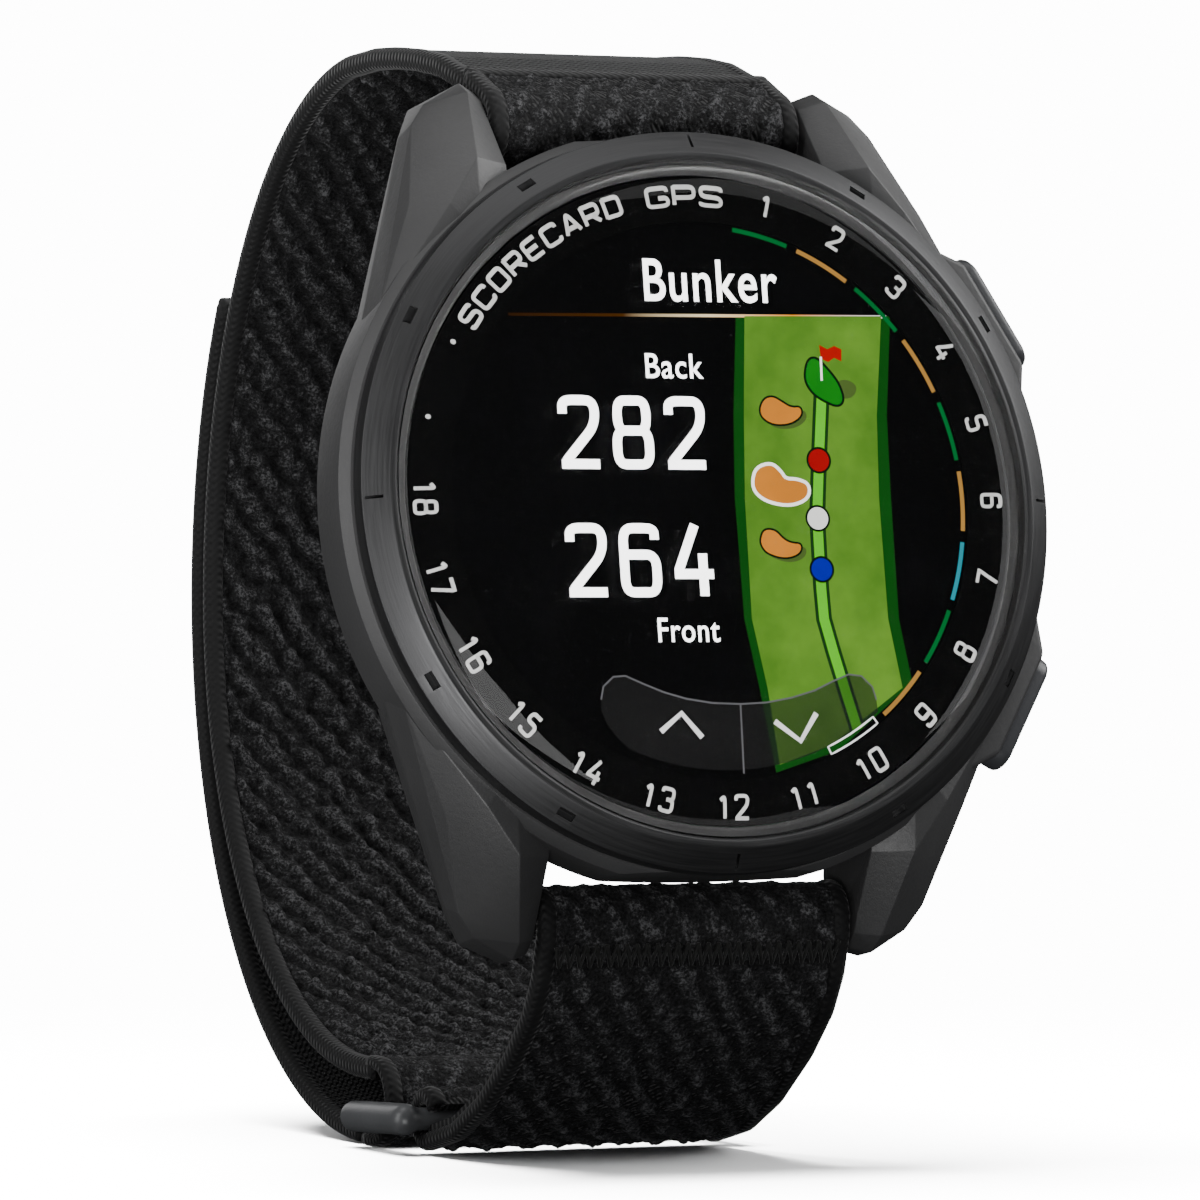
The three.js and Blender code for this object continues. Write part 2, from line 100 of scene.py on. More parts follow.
world = bpy.data.worlds.new("white room")
bpy.context.scene.world = world
world.use_nodes = True
room = world.node_tree
room.nodes.clear()
room_out = node(room, "OutputWorld")
seen = node(room, "Background", {"Color": (1, 1, 1, 1), "Strength": 14.0})
felt = node(room, "Background", {"Color": (0.95, 0.97, 1, 1), "Strength": 0.3})
mirrored = node(room, "Background", {"Color": (0.9, 0.95, 1, 1), "Strength": 0.02})
path = node(room, "LightPath")
by_gloss = node(room, "MixShader")
by_eye = node(room, "MixShader")
wire(room, (path, "Is Glossy Ray", by_gloss, 0), (felt, 0, by_gloss, 1), (mirrored, 0, by_gloss, 2),
           (path, "Is Camera Ray", by_eye, 0), (by_gloss, 0, by_eye, 1), (seen, 0, by_eye, 2),
           (by_eye, 0, room_out, 0))


def softbox(name, place, aim, width, height, watts):
    data = bpy.data.lights.new(name, "AREA")
    data.shape = "RECTANGLE"
    data.size, data.size_y = width, height
    data.energy = watts
    lamp = bpy.data.objects.new(name, data)
    bpy.context.scene.collection.objects.link(lamp)
    lamp.location = place
    lamp.rotation_euler = (Vector(aim) - Vector(place)).to_track_quat("-Z", "Y").to_euler()
    return lamp


watch_middle = (0, -0.02, 0)
studio_lamps = [
    softbox("key over the right shoulder", (0.52, -0.16, 0.34), watch_middle, 0.50, 0.42, 4.5),
    softbox("top light", (-0.05, -0.10, 0.75), watch_middle, 0.8, 0.5, 3.0),
    softbox("low light near the camera", (-0.25, -0.50, -0.16), watch_middle, 0.30, 0.26, 5.0),
    softbox("side light from the left", (-0.70, -0.10, 0.15), watch_middle, 0.35, 0.8, 3.4),
    softbox("light from behind", (0.25, 0.75, 0.30), watch_middle, 0.9, 0.5, 2.5)]

# The floor has a sheet of light of its own, which nothing else is lit by.
floor_light = softbox("floor light", (-0.1, 0.1, 0.9), watch_middle, 0.7, 0.7, 200.0)
lit_by_it = bpy.data.collections.new("lit by the floor light")
floor_light.light_linking.receiver_collection = lit_by_it
floor_light.visible_glossy = False

bpy.ops.object.select_all(action="DESELECT")
bpy.ops.mesh.primitive_circle_add(vertices=96, radius=0.6, fill_type="NGON",
                                  location=(0, -0.02, cad_low[2] - 0.00002))
floor = bpy.context.object
floor.name = floor.data.name = "floor"
fix_place()
floor_material = bpy.data.materials.new("pale floor")
floor_material.use_nodes = True
tree = floor_material.node_tree
floor_paint = tree.nodes["Principled BSDF"]
settle(floor_paint, {"Base Color": (0.9, 0.9, 0.9, 1), "Roughness": 0.85, "Specular IOR Level": 0.2})
place = node(tree, "TexCoord")
from_middle = node(tree, "Mapping", {"Location": (0, 0.02, -cad_low[2])})
reach = node(tree, "VectorMath", operation="LENGTH")
fade = node(tree, "MapRange", {"From Min": 0.035, "From Max": 0.19, "To Min": 1.0, "To Max": 0.0},
            interpolation_type="SMOOTHSTEP")
wire(tree, (place, "Object", from_middle, "Vector"), (from_middle, 0, reach, 0),
           (reach, "Value", fade, "Value"), (fade, 0, floor_paint, "Alpha"))
floor.data.materials.append(floor_material)
floor.visible_glossy = False
lit_by_it.objects.link(floor)
floor.visible_diffuse = False

# ---- Case body ----------------------------------------------------------------------------------
# One moulding of fibre-reinforced polymer: a ring with four faceted lugs and two raised button
# guards. Its faces carry a fine matt grain, and its edges are broken by a small radius.

MM = 0.001
HEAD = Matrix.Translation((0, -0.034, 0.0055)) @ Matrix.Rotation(math.radians(81), 4, "X")
CASE_R = 22.1
CASE_TOP, CASE_BOTTOM = -2.3, -8.6
LUG_IN = 10.1
BUTTON_ANGLES = {"upper": 60, "lower": 120}
BUTTON_Z = -5.1


def take(piece):
    """Makes one object the only one selected."""
    if bpy.context.object and bpy.context.object.mode != "OBJECT":
        bpy.ops.object.mode_set(mode="OBJECT")
    bpy.ops.object.select_all(action="DESELECT")
    piece.select_set(True)
    bpy.context.view_layer.objects.active = piece
    return piece


def named(name):
    piece = bpy.context.object
    piece.name = piece.data.name = name
    return piece


def traced(name, start, steps):
    """A line drawn vertex by vertex from its start. It is left in edit mode, all selected."""
    bpy.ops.object.select_all(action="DESELECT")
    bpy.ops.mesh.primitive_plane_add(size=0.001)
    piece = named(name)
    bpy.ops.object.mode_set(mode="EDIT")
    bpy.ops.mesh.select_all(action="SELECT")
    bpy.ops.mesh.merge(type="CENTER")
    bpy.ops.transform.translate(value=start)
    for step in steps:
        bpy.ops.mesh.extrude_vertices_move(TRANSFORM_OT_translate={"value": step})
    bpy.ops.mesh.select_all(action="SELECT")
    return piece


def turned(name, profile, steps=192):
    """A profile of [radius, height] pairs in millimetres, spun round the Z axis."""
    piece = traced(name, (profile[0][0] * MM, 0, profile[0][1] * MM),
                   [((r2 - r) * MM, 0, (z2 - z) * MM) for (r, z), (r2, z2) in zip(profile, profile[1:])])
    bpy.ops.mesh.spin(steps=steps, angle=2 * math.pi, center=(0, 0, 0), axis=(0, 0, 1))
    bpy.ops.mesh.select_all(action="SELECT")
    bpy.ops.mesh.remove_doubles(threshold=2e-7)
    face_out()
    bpy.ops.object.mode_set(mode="OBJECT")
    return piece


def smoothed(piece, angle):
    """Shades a piece smooth across every edge that turns less than an angle."""
    take(piece)
    bpy.ops.object.shade_smooth_by_angle(angle=math.radians(angle))
    return piece


def edit(*steps):
    """Runs steps in edit mode, on all of the piece in hand."""
    bpy.ops.object.mode_set(mode="EDIT")
    bpy.ops.mesh.select_all(action="SELECT")
    for step in steps:
        step()
    bpy.ops.object.mode_set(mode="OBJECT")


def face_out():
    bpy.ops.mesh.normals_make_consistent(inside=False)


def broken_edges(piece, width, segments=3, angle=25):
    """Rounds the edges sharper than an angle, and shades the rest smooth."""
    take(piece)
    bevel = piece.modifiers.new("broken edges", "BEVEL")
    bevel.width = width * MM
    bevel.segments = segments
    bevel.limit_method = "ANGLE"
    bevel.angle_limit = math.radians(angle)
    bevel.harden_normals = False
    bevel.miter_outer = "MITER_ARC"
    bpy.ops.object.modifier_apply(modifier=bevel.name)
    return smoothed(piece, 35)


def hull(name, corners):
    """The outer shape of a moulding, pulled tight over its corners."""
    piece = traced(name, Vector(corners[0]) * MM,
                   [(Vector(after) - Vector(before)) * MM for before, after in zip(corners, corners[1:])])
    bpy.ops.mesh.convex_hull()
    bpy.ops.mesh.select_all(action="SELECT")
    bpy.ops.mesh.dissolve_limited(angle_limit=math.radians(0.5))
    bpy.ops.mesh.select_all(action="SELECT")
    face_out()
    bpy.ops.object.mode_set(mode="OBJECT")
    return piece


def block(name, sizes, centre):
    """A block of some sizes about its centre, in millimetres."""
    bpy.ops.object.select_all(action="DESELECT")
    bpy.ops.mesh.primitive_cube_add(size=1, location=Vector(centre) * MM)
    piece = named(name)
    piece.scale = Vector(sizes) * MM
    fix_place()
    return piece


def rod(name, radius, start, end, sides=48):
    """A round rod between two points, in millimetres."""
    start, end = Vector(start), Vector(end)
    bpy.ops.object.select_all(action="DESELECT")
    bpy.ops.mesh.primitive_cylinder_add(vertices=sides, radius=radius * MM,
                                        depth=(end - start).length * MM)
    piece = named(name)
    turn = (end - start).to_track_quat("Z", "Y").to_matrix().to_4x4()
    piece.matrix_world = Matrix.Translation((start + end) / 2 * MM) @ turn
    fix_place()
    return piece


def moved(piece, matrix):
    take(piece)
    piece.matrix_world = matrix @ piece.matrix_world
    fix_place()
    return piece


def mirrored_copy(piece, axis, name):
    """A copy on the other side of the head, with its faces turned back out."""
    take(piece)
    bpy.ops.object.duplicate(linked=False)
    copy = named(name)
    copy.scale = (-1, 1, 1) if axis == "X" else (1, -1, 1)
    fix_place()
    edit(face_out)
    return copy


def joined(name, pieces):
    take(pieces[0])
    for piece in pieces:
        piece.select_set(True)
    if len(pieces) > 1:
        bpy.ops.object.join()
    return named(name)


def cut(piece, tools):
    """Takes the tools' shapes out of a piece."""
    for tool in tools:
        take(piece)
        boolean = piece.modifiers.new("cut", "BOOLEAN")
        boolean.operation = "DIFFERENCE"
        boolean.solver = "EXACT"
        boolean.object = tool
        bpy.ops.object.modifier_apply(modifier=boolean.name)
        bpy.data.objects.remove(tool)
    return piece


def at_angle(angle):
    """Turns +X to an angle clockwise from 12 o'clock, about the dial's axis."""
    return Matrix.Rotation(math.radians(90 - angle), 4, "Z")


def seat_in_head(piece):
    """From the head's own axes to the watch's: the dial leans back 9 degrees."""
    return moved(piece, HEAD)


def pill(name, length, height, inner, outer, level, edge=0.25):
    """A round-ended bar across +X, between two distances from the dial's axis."""
    r = height / 2
    bpy.ops.object.select_all(action="DESELECT")
    bpy.ops.mesh.primitive_cylinder_add(vertices=48, radius=r * MM, depth=(outer - inner) * MM)
    piece = named(name)
    piece.rotation_euler = (0, math.pi / 2, 0)
    fix_place()
    for v in piece.data.vertices:
        v.co.y += math.copysign(length / 2 - r, v.co.y) * MM
        v.co.x += (inner + outer) / 2 * MM
        v.co.z += level * MM
    return broken_edges(piece, edge, 4, 40) if edge else piece


def principled(name):
    """A material with its shader and node tree to hand."""
    material = bpy.data.materials.new(name)
    material.use_nodes = True
    return material, material.node_tree, material.node_tree.nodes["Principled BSDF"]


def finish(piece, material, body="head", replaces=()):
    """The piece's material, its place in the record, and the body that it moves with."""
    piece.data.materials.clear()
    piece.data.materials.append(material)
    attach(piece, body)
    if replaces:
        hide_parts(*replaces)
    return piece


# Moulded grain: a fine matt texture with faint mottling, for the polymer and rubber pieces.
grain = bpy.data.node_groups.new("moulded grain", "ShaderNodeTree")
for socket, kind, value in (("Fineness", "NodeSocketFloat", 3200), ("Depth", "NodeSocketFloat", 0.3),
                            ("Mottle", "NodeSocketFloat", 0.15), ("Roughness", "NodeSocketFloat", 0.5),
                            ("Colour", "NodeSocketColor", (0.06, 0.06, 0.06, 1))):
    made = grain.interface.new_socket(socket, in_out="INPUT", socket_type=kind)
    made.default_value = value
grain.interface.new_socket("Colour", in_out="OUTPUT", socket_type="NodeSocketColor")
grain.interface.new_socket("Roughness", in_out="OUTPUT", socket_type="NodeSocketFloat")
grain.interface.new_socket("Normal", in_out="OUTPUT", socket_type="NodeSocketVector")
g_in = grain.nodes.new("NodeGroupInput")
g_out = grain.nodes.new("NodeGroupOutput")
g_place = node(grain, "TexCoord")
fine = node(grain, "TexNoise", {"Detail": 3, "Roughness": 0.7})
broad = node(grain, "TexNoise", {"Scale": 160, "Detail": 5})
g_bump = node(grain, "Bump", {"Distance": 0.00006})
mottle = node(grain, "MapRange", {"From Min": 0.3, "From Max": 0.7})
low_side = node(grain, "Math", {0: 1}, operation="SUBTRACT")
high_side = node(grain, "Math", {0: 1}, operation="ADD")
shade = node(grain, "VectorMath", operation="SCALE")
rough = node(grain, "Math", operation="MULTIPLY")
speck = node(grain, "MapRange", {"To Min": 0.85, "To Max": 1.15})
wire(grain, (g_place, "Object", fine, "Vector"), (g_in, "Fineness", fine, "Scale"),
            (g_place, "Object", broad, "Vector"), (fine, 0, g_bump, "Height"),
            (g_in, "Depth", g_bump, "Strength"), (g_bump, 0, g_out, "Normal"),
            (g_in, "Mottle", low_side, 1), (g_in, "Mottle", high_side, 1), (broad, 0, mottle, "Value"),
            (low_side, 0, mottle, "To Min"), (high_side, 0, mottle, "To Max"), (g_in, "Colour", shade, 0),
            (mottle, 0, shade, "Scale"), (shade, 0, g_out, "Colour"), (fine, 0, speck, "Value"),
            (speck, 0, rough, 0), (g_in, "Roughness", rough, 1), (rough, 0, g_out, "Roughness"))


def moulded(name, colour, roughness, fineness=3200, depth=0.3, mottling=0.12):
    """A moulded material: the grain above, in a colour and a roughness of its own."""
    material, tree, shader = principled(name)
    skin = node(tree, "Group", {"Colour": (*colour, 1), "Roughness": roughness, "Fineness": fineness,
                                "Depth": depth, "Mottle": mottling}, node_tree=grain)
    wire(tree, (skin, "Colour", shader, "Base Color"), (skin, "Roughness", shader, "Roughness"),
               (skin, "Normal", shader, "Normal"))
    return material


case_polymer = moulded("case polymer", (0.031, 0.0308, 0.0312), 0.5)

ring = turned("case ring", [
    (19.2, CASE_TOP), (CASE_R - 0.5, CASE_TOP), (CASE_R, CASE_TOP - 0.6), (CASE_R, -6.2),
    (CASE_R - 1.5, CASE_BOTTOM), (19.2, CASE_BOTTOM), (19.2, CASE_TOP)])
cut(ring, [block("flat", (16, 3, 10), (0, side * 22.7, -5.5)) for side in (-1, 1)])
broken_edges(ring, 0.18)
lug = hull("lug", [
    (LUG_IN, 15, -2.9), (LUG_IN, 20, -4.0), (LUG_IN, 24.4, -7.1), (LUG_IN, 25.1, -8.1),
    (LUG_IN, 25.1, -9.4), (LUG_IN, 24.2, -10.7), (LUG_IN, 20.5, -10.7), (LUG_IN, 14, CASE_BOTTOM),
    (12.4, 20.1, -2.8), (11.4, 24.7, -6.0), (11.3, 25.5, -7.4), (11.3, 25.5, -9.2), (14.4, 17.3, -2.35),
    (13.6, 24.2, -7.4), (13.7, 24.3, -9.6), (14.6, 22.9, -7.0), (15.0, 22.3, -8.2), (14.2, 22.8, -10.0),
    (15.4, 20.0, -5.4), (16.2, 17.6, -4.2), (17.0, 17.0, -6.2), (15.8, 17.6, -9.0),
    (19.0, 11.0, -2.9), (19.2, 11.0, -5.0), (18.6, 11.0, -7.6), (12.5, 15, CASE_TOP - 0.05)])
bar_holes = rod("bar holes", 0.55, (LUG_IN - 1, 23.2, -8.6), (LUG_IN + 2.1, 23.2, -8.6), 24)
cut(lug, [bar_holes])
broken_edges(lug, 0.22, 3, 9)
cut(lug, [turned("bore", [(0, -12), (19.3, -12), (19.3, 0), (0, 0)], 96)])
lugs = [lug, mirrored_copy(lug, "X", "lug two")]
lugs += [mirrored_copy(one, "Y", "lower " + one.name) for one in list(lugs)]
guards = []
for name, angle in BUTTON_ANGLES.items():
    guard = hull(name + " guard", [
        (x, y, z) for z in (-7.0, -3.0)
        for x, y in ((18, -5.9), (21.6, -5.6), (23.2, -3.4), (23.2, 3.4), (21.6, 5.6), (18, 5.9))])
    broken_edges(guard, 0.35, 4, 9)
    cut(guard, [pill("pocket", 7.7, 2.7, 21.9, 26, BUTTON_Z, 0),
                turned("bore", [(0, -12), (19.3, -12), (19.3, 0), (0, 0)], 96)])
    smoothed(guard, 35)
    guards.append(moved(guard, at_angle(angle)))
case = joined("case_body_visual", [ring, *lugs, *guards])
seat_in_head(case)
finish(case, case_polymer, replaces=["case_body"])

# ---- Bezel --------------------------------------------------------------------------------------
# A turned aluminium ring, black anodised and brushed round its chamfer. Four fine hour lines and
# eight small pockets are milled into the chamfer; the edges catch the light.

BEZEL_R, BEZEL_IN_R = 21.5, 19.6

turning = bpy.data.node_groups.new("turned brushing", "ShaderNodeTree")
for socket, value in (("Base Roughness", 0.46), ("Depth", 0.2)):
    made = turning.interface.new_socket(socket, in_out="INPUT", socket_type="NodeSocketFloat")
    made.default_value = value
turning.interface.new_socket("Streaks", in_out="OUTPUT", socket_type="NodeSocketFloat")
turning.interface.new_socket("Roughness", in_out="OUTPUT", socket_type="NodeSocketFloat")
turning.interface.new_socket("Normal", in_out="OUTPUT", socket_type="NodeSocketVector")
t_in = turning.nodes.new("NodeGroupInput")
t_out = turning.nodes.new("NodeGroupOutput")
t_place = node(turning, "TexCoord")
to_head = node(turning, "Mapping", {"Location": HEAD.to_translation(), "Rotation": HEAD.to_euler()},
               vector_type="TEXTURE")
axes = node(turning, "SeparateXYZ")
round_angle = node(turning, "Math", operation="ARCTAN2")
flat = node(turning, "VectorMath", {1: (1, 1, 0)}, operation="MULTIPLY")
radius = node(turning, "VectorMath", operation="LENGTH")
polar = node(turning, "CombineXYZ")
stretch = node(turning, "VectorMath", {1: (9000, 4.5, 9000)}, operation="MULTIPLY")
streaks = node(turning, "TexNoise", {"Scale": 1, "Detail": 4, "Roughness": 0.65})
t_bump = node(turning, "Bump", {"Distance": 0.00003})
t_rough = node(turning, "Math", operation="MULTIPLY")
t_range = node(turning, "MapRange", {"From Min": 0.3, "From Max": 0.7, "To Min": 0.85, "To Max": 1.2})
wire(turning, (t_place, "Object", to_head, "Vector"), (to_head, 0, axes, 0), (axes, "Y", round_angle, 0),
              (axes, "X", round_angle, 1), (to_head, 0, flat, 0), (flat, 0, radius, 0),
              (radius, "Value", polar, "X"), (round_angle, 0, polar, "Y"), (axes, "Z", polar, "Z"),
              (polar, 0, stretch, 0), (stretch, 0, streaks, "Vector"), (streaks, 0, t_bump, "Height"),
              (t_in, "Depth", t_bump, "Strength"), (t_bump, 0, t_out, "Normal"),
              (streaks, 0, t_range, "Value"), (t_range, 0, t_rough, 0),
              (t_in, "Base Roughness", t_rough, 1), (t_rough, 0, t_out, "Roughness"),
              (t_range, 0, t_out, "Streaks"))

anodised, tree, shader = principled("black anodised aluminium")
brushing = node(tree, "Group", node_tree=turning)
tint = node(tree, "VectorMath", {0: (0.05, 0.05, 0.051)}, operation="SCALE")
shader.inputs["Metallic"].default_value = 0.85
wire(tree, (brushing, "Streaks", tint, "Scale"), (tint, 0, shader, "Base Color"),
           (brushing, "Roughness", shader, "Roughness"), (brushing, "Normal", shader, "Normal"))

bezel = turned("bezel_ring_visual", [
    (18.6, -2.2), (BEZEL_R - 0.05, -2.2), (BEZEL_R, -2.1), (BEZEL_R, -0.95), (20.25, -0.1),
    (20.1, 0), (19.75, 0), (BEZEL_IN_R, -0.15), (BEZEL_IN_R, -1.4), (18.6, -1.4), (18.6, -2.2)], 240)
broken_edges(bezel, 0.07, 3, 20)
marks = []
for hour in range(12):
    if hour % 3 == 0:
        mark = block("hour line", (1.9, 0.17, 0.6), (21.1, 0, -0.55))
    else:
        mark = block("hour pocket", (0.42, 1.05, 0.6), (20.85, 0, -0.55))
    marks.append(moved(mark, at_angle(hour * 30)))
cut(bezel, [joined("marks", marks)])
smoothed(bezel, 30)
seat_in_head(bezel)
finish(bezel, anodised, replaces=["bezel_ring"])

# ---- Cover lens ---------------------------------------------------------------------------------
# Strengthened glass, flat in the middle and rolled over at its edge. It is bonded into a seat in
# the bezel, on a soft gasket.

lens_glass, tree, shader = principled("cover glass")
settle(shader, {"Base Color": (1, 1, 1, 1), "Roughness": 0.02, "IOR": 1.5, "Transmission Weight": 1})
clear = node(tree, "BsdfTransparent")
rays = node(tree, "LightPath")
let_light_in = node(tree, "MixShader")
wire(tree, (rays, "Is Shadow Ray", let_light_in, 0), (shader, 0, let_light_in, 1),
           (clear, 0, let_light_in, 2), (let_light_in, 0, tree.nodes["Material Output"], "Surface"))

dome = [(19.4 - 0.16 * k, -0.36 + 0.74 * (1 - (1 - k / 13) ** 2)) for k in range(14)]
lens = turned("cover_lens_visual", [
    (0, -1.1), (19.4, -1.1), (19.45, -1.0), (19.45, -0.42), *dome, (0, 0.38)], 240)
smoothed(lens, 40)
seat_in_head(lens)
finish(lens, lens_glass, replaces=["cover_lens"])

# The studio lamps leave the glass alone. Three dim panels make its only reflections, at its rim.
all_but_glass = bpy.data.collections.new("all but the glass")
all_but_glass.objects.link(lens)
all_but_glass.collection_objects[0].light_linking.link_state = "EXCLUDE"
only_glass = bpy.data.collections.new("only the glass")
only_glass.objects.link(lens)
for lamp in studio_lamps:
    lamp.light_linking.receiver_collection = all_but_glass
for name, place, width, height, watts in (
        ("rim panel near the camera", (-0.13, -0.54, -0.12), 0.3, 0.24, 0.5),
        ("rim panel on the right", (0.55, -0.30, 0.10), 0.22, 0.5, 0.42),
        ("rim panel above", (0.27, -0.33, 0.42), 0.3, 0.25, 0.13)):
    rim_panel = softbox(name, place, watch_middle, width, height, watts)
    rim_panel.light_linking.receiver_collection = only_glass

# ---- Dial ring ----------------------------------------------------------------------------------
# Black ink printed on the back of the lens, in a ring round the display, with pale numerals for
# the eighteen holes, two dots and two plain words.

INK_LEVEL = -1.15
PRINT_LEVEL = INK_LEVEL + 0.02


def speckle(tree, scale, detail=2.0, roughness=0.5):
    """A fine uneven pattern that is fixed to the piece."""
    place = node(tree, "TexCoord")
    made = node(tree, "TexNoise", {"Scale": scale, "Detail": detail, "Roughness": roughness})
    wire(tree, (place, "Object", made, "Vector"))
    return made


def spread(tree, pattern, low, high, target, socket, least=0.0, most=1.0):
    """Spreads a pattern from low to high, and feeds it to another node."""
    made = node(tree, "MapRange", {"From Min": least, "From Max": most, "To Min": low, "To Max": high})
    wire(tree, (pattern, 0, made, "Value"), (made, 0, target, socket))


black_ink, tree, shader = principled("black printed ink")
settle(shader, {"Base Color": (0.002, 0.002, 0.002, 1), "Roughness": 0.6, "Specular IOR Level": 0.0})
ink_bump = node(tree, "Bump", {"Distance": 0.00001, "Strength": 0.3})
wire(tree, (speckle(tree, 2500), 0, ink_bump, "Height"), (ink_bump, 0, shader, "Normal"))

# The numerals glow faintly: painted light, so that they read pale under the glass.
glowing_pale_print, tree, shader = principled("pale printed numerals with painted glow")
settle(shader, {"Base Color": (0.36, 0.36, 0.35, 1), "Roughness": 0.5,
                "Emission Color": (0.75, 0.75, 0.72, 1), "Emission Strength": 0.2})
spread(tree, speckle(tree, 4000), 0.4, 0.6, shader, "Roughness")

INK_IN_R, INK_OUT_R, INK_UNDER = 16.15, 18.55, INK_LEVEL - 0.15
ink = turned("dial_ring_visual", [(INK_IN_R, INK_UNDER), (INK_OUT_R, INK_UNDER), (INK_OUT_R, INK_LEVEL),
                                  (INK_IN_R, INK_LEVEL), (INK_IN_R, INK_UNDER)])
smoothed(ink, 30)
seat_in_head(ink)
finish(ink, black_ink, replaces=["dial_ring"])


def lettered(text, height, weight, width, spacing=1.08):
    """Flat lettering centred on the origin, as a mesh, this high and wide in millimetres."""
    bpy.ops.object.select_all(action="DESELECT")
    bpy.ops.object.text_add()
    piece = bpy.context.object
    piece.data.body = text
    piece.data.align_x = "CENTER"
    piece.data.align_y = "CENTER"
    piece.data.space_character = spacing
    piece.data.offset = weight
    piece.data.extrude = 0.004
    piece.data.resolution_u = 6
    bpy.ops.object.convert(target="MESH")
    piece = bpy.context.object
    piece.name = piece.data.name = "lettering"
    co = np.array([v.co for v in piece.data.vertices])
    low, high = co.min(0), co.max(0)
    scale = height * MM / (high[1] - low[1])
    scale_x = width * MM / (high[0] - low[0])
    for v in piece.data.vertices:
        v.co = ((v.co.x - (low[0] + high[0]) / 2) * scale_x, (v.co.y - (low[1] + high[1]) / 2) * scale,
                v.co.z * scale)
    return piece


def on_dial(piece, x, y, level, turn=0.0):
    """Lays a flat piece on the dial at a place, turned clockwise by some degrees."""
    return moved(piece, Matrix.Translation(Vector((x, y, level)) * MM)
                 @ Matrix.Rotation(math.radians(-turn), 4, "Z"))


def round_the_dial(piece, angle, r, level, tops_out=True):
    """Lays a flat piece at an angle clockwise from 12 o'clock, its top or its foot outwards."""
    a = math.radians(angle)
    return on_dial(piece, r * math.sin(a), r * math.cos(a), level, angle if tops_out else angle + 180)


def shape(name, outline, level):
    """A flat shape on the display, from its outline, in millimetres."""
    bpy.ops.object.select_all(action="DESELECT")
    bpy.ops.mesh.primitive_circle_add(vertices=len(outline), radius=0.001, fill_type="NGON")
    piece = named(name)
    for v, (x, y) in zip(piece.data.vertices, outline):
        v.co = (x * MM, y * MM, level * MM)
    edit(bpy.ops.mesh.quads_convert_to_tris, face_out)
    if piece.data.polygons[0].normal.z < 0:
        edit(bpy.ops.mesh.flip_normals)
    return piece


def stroke(points, width, closed=False):
    """The outline of a line of one width through some points."""
    points = [Vector(p) for p in points]
    left, right = [], []
    for i, point in enumerate(points):
        before = points[i - 1] if i or closed else point
        after = points[(i + 1) % len(points)] if i + 1 < len(points) or closed else point
        along = (after - before).normalized()
        side = Vector((-along.y, along.x)) * width / 2
        left.append(tuple(point + side))
        right.append(tuple(point - side))
    if closed:
        return left, right
    return left + right[::-1]


def softened(points, reach=0.3):
    """An open line with each inner corner turned through a short curve."""
    line = [points[0]]
    for before, corner, after in zip(points, points[1:], points[2:]):
        a, b, c = Vector(before), Vector(corner), Vector(after)
        start = b + (a - b).normalized() * min(reach, (a - b).length / 2)
        end = b + (c - b).normalized() * min(reach, (c - b).length / 2)
        line += [tuple(start * (1 - t) ** 2 + b * (2 * t * (1 - t)) + end * t * t)
                 for t in np.linspace(0, 1, 7)]
    return line + [points[-1]]


def flipped(lines, across, up):
    """Lines of a figure seen in a mirror beside it, under it, or both."""
    return [[((1 - x) if across else x, (1.4 - y) if up else y) for x, y in line] for line in lines]


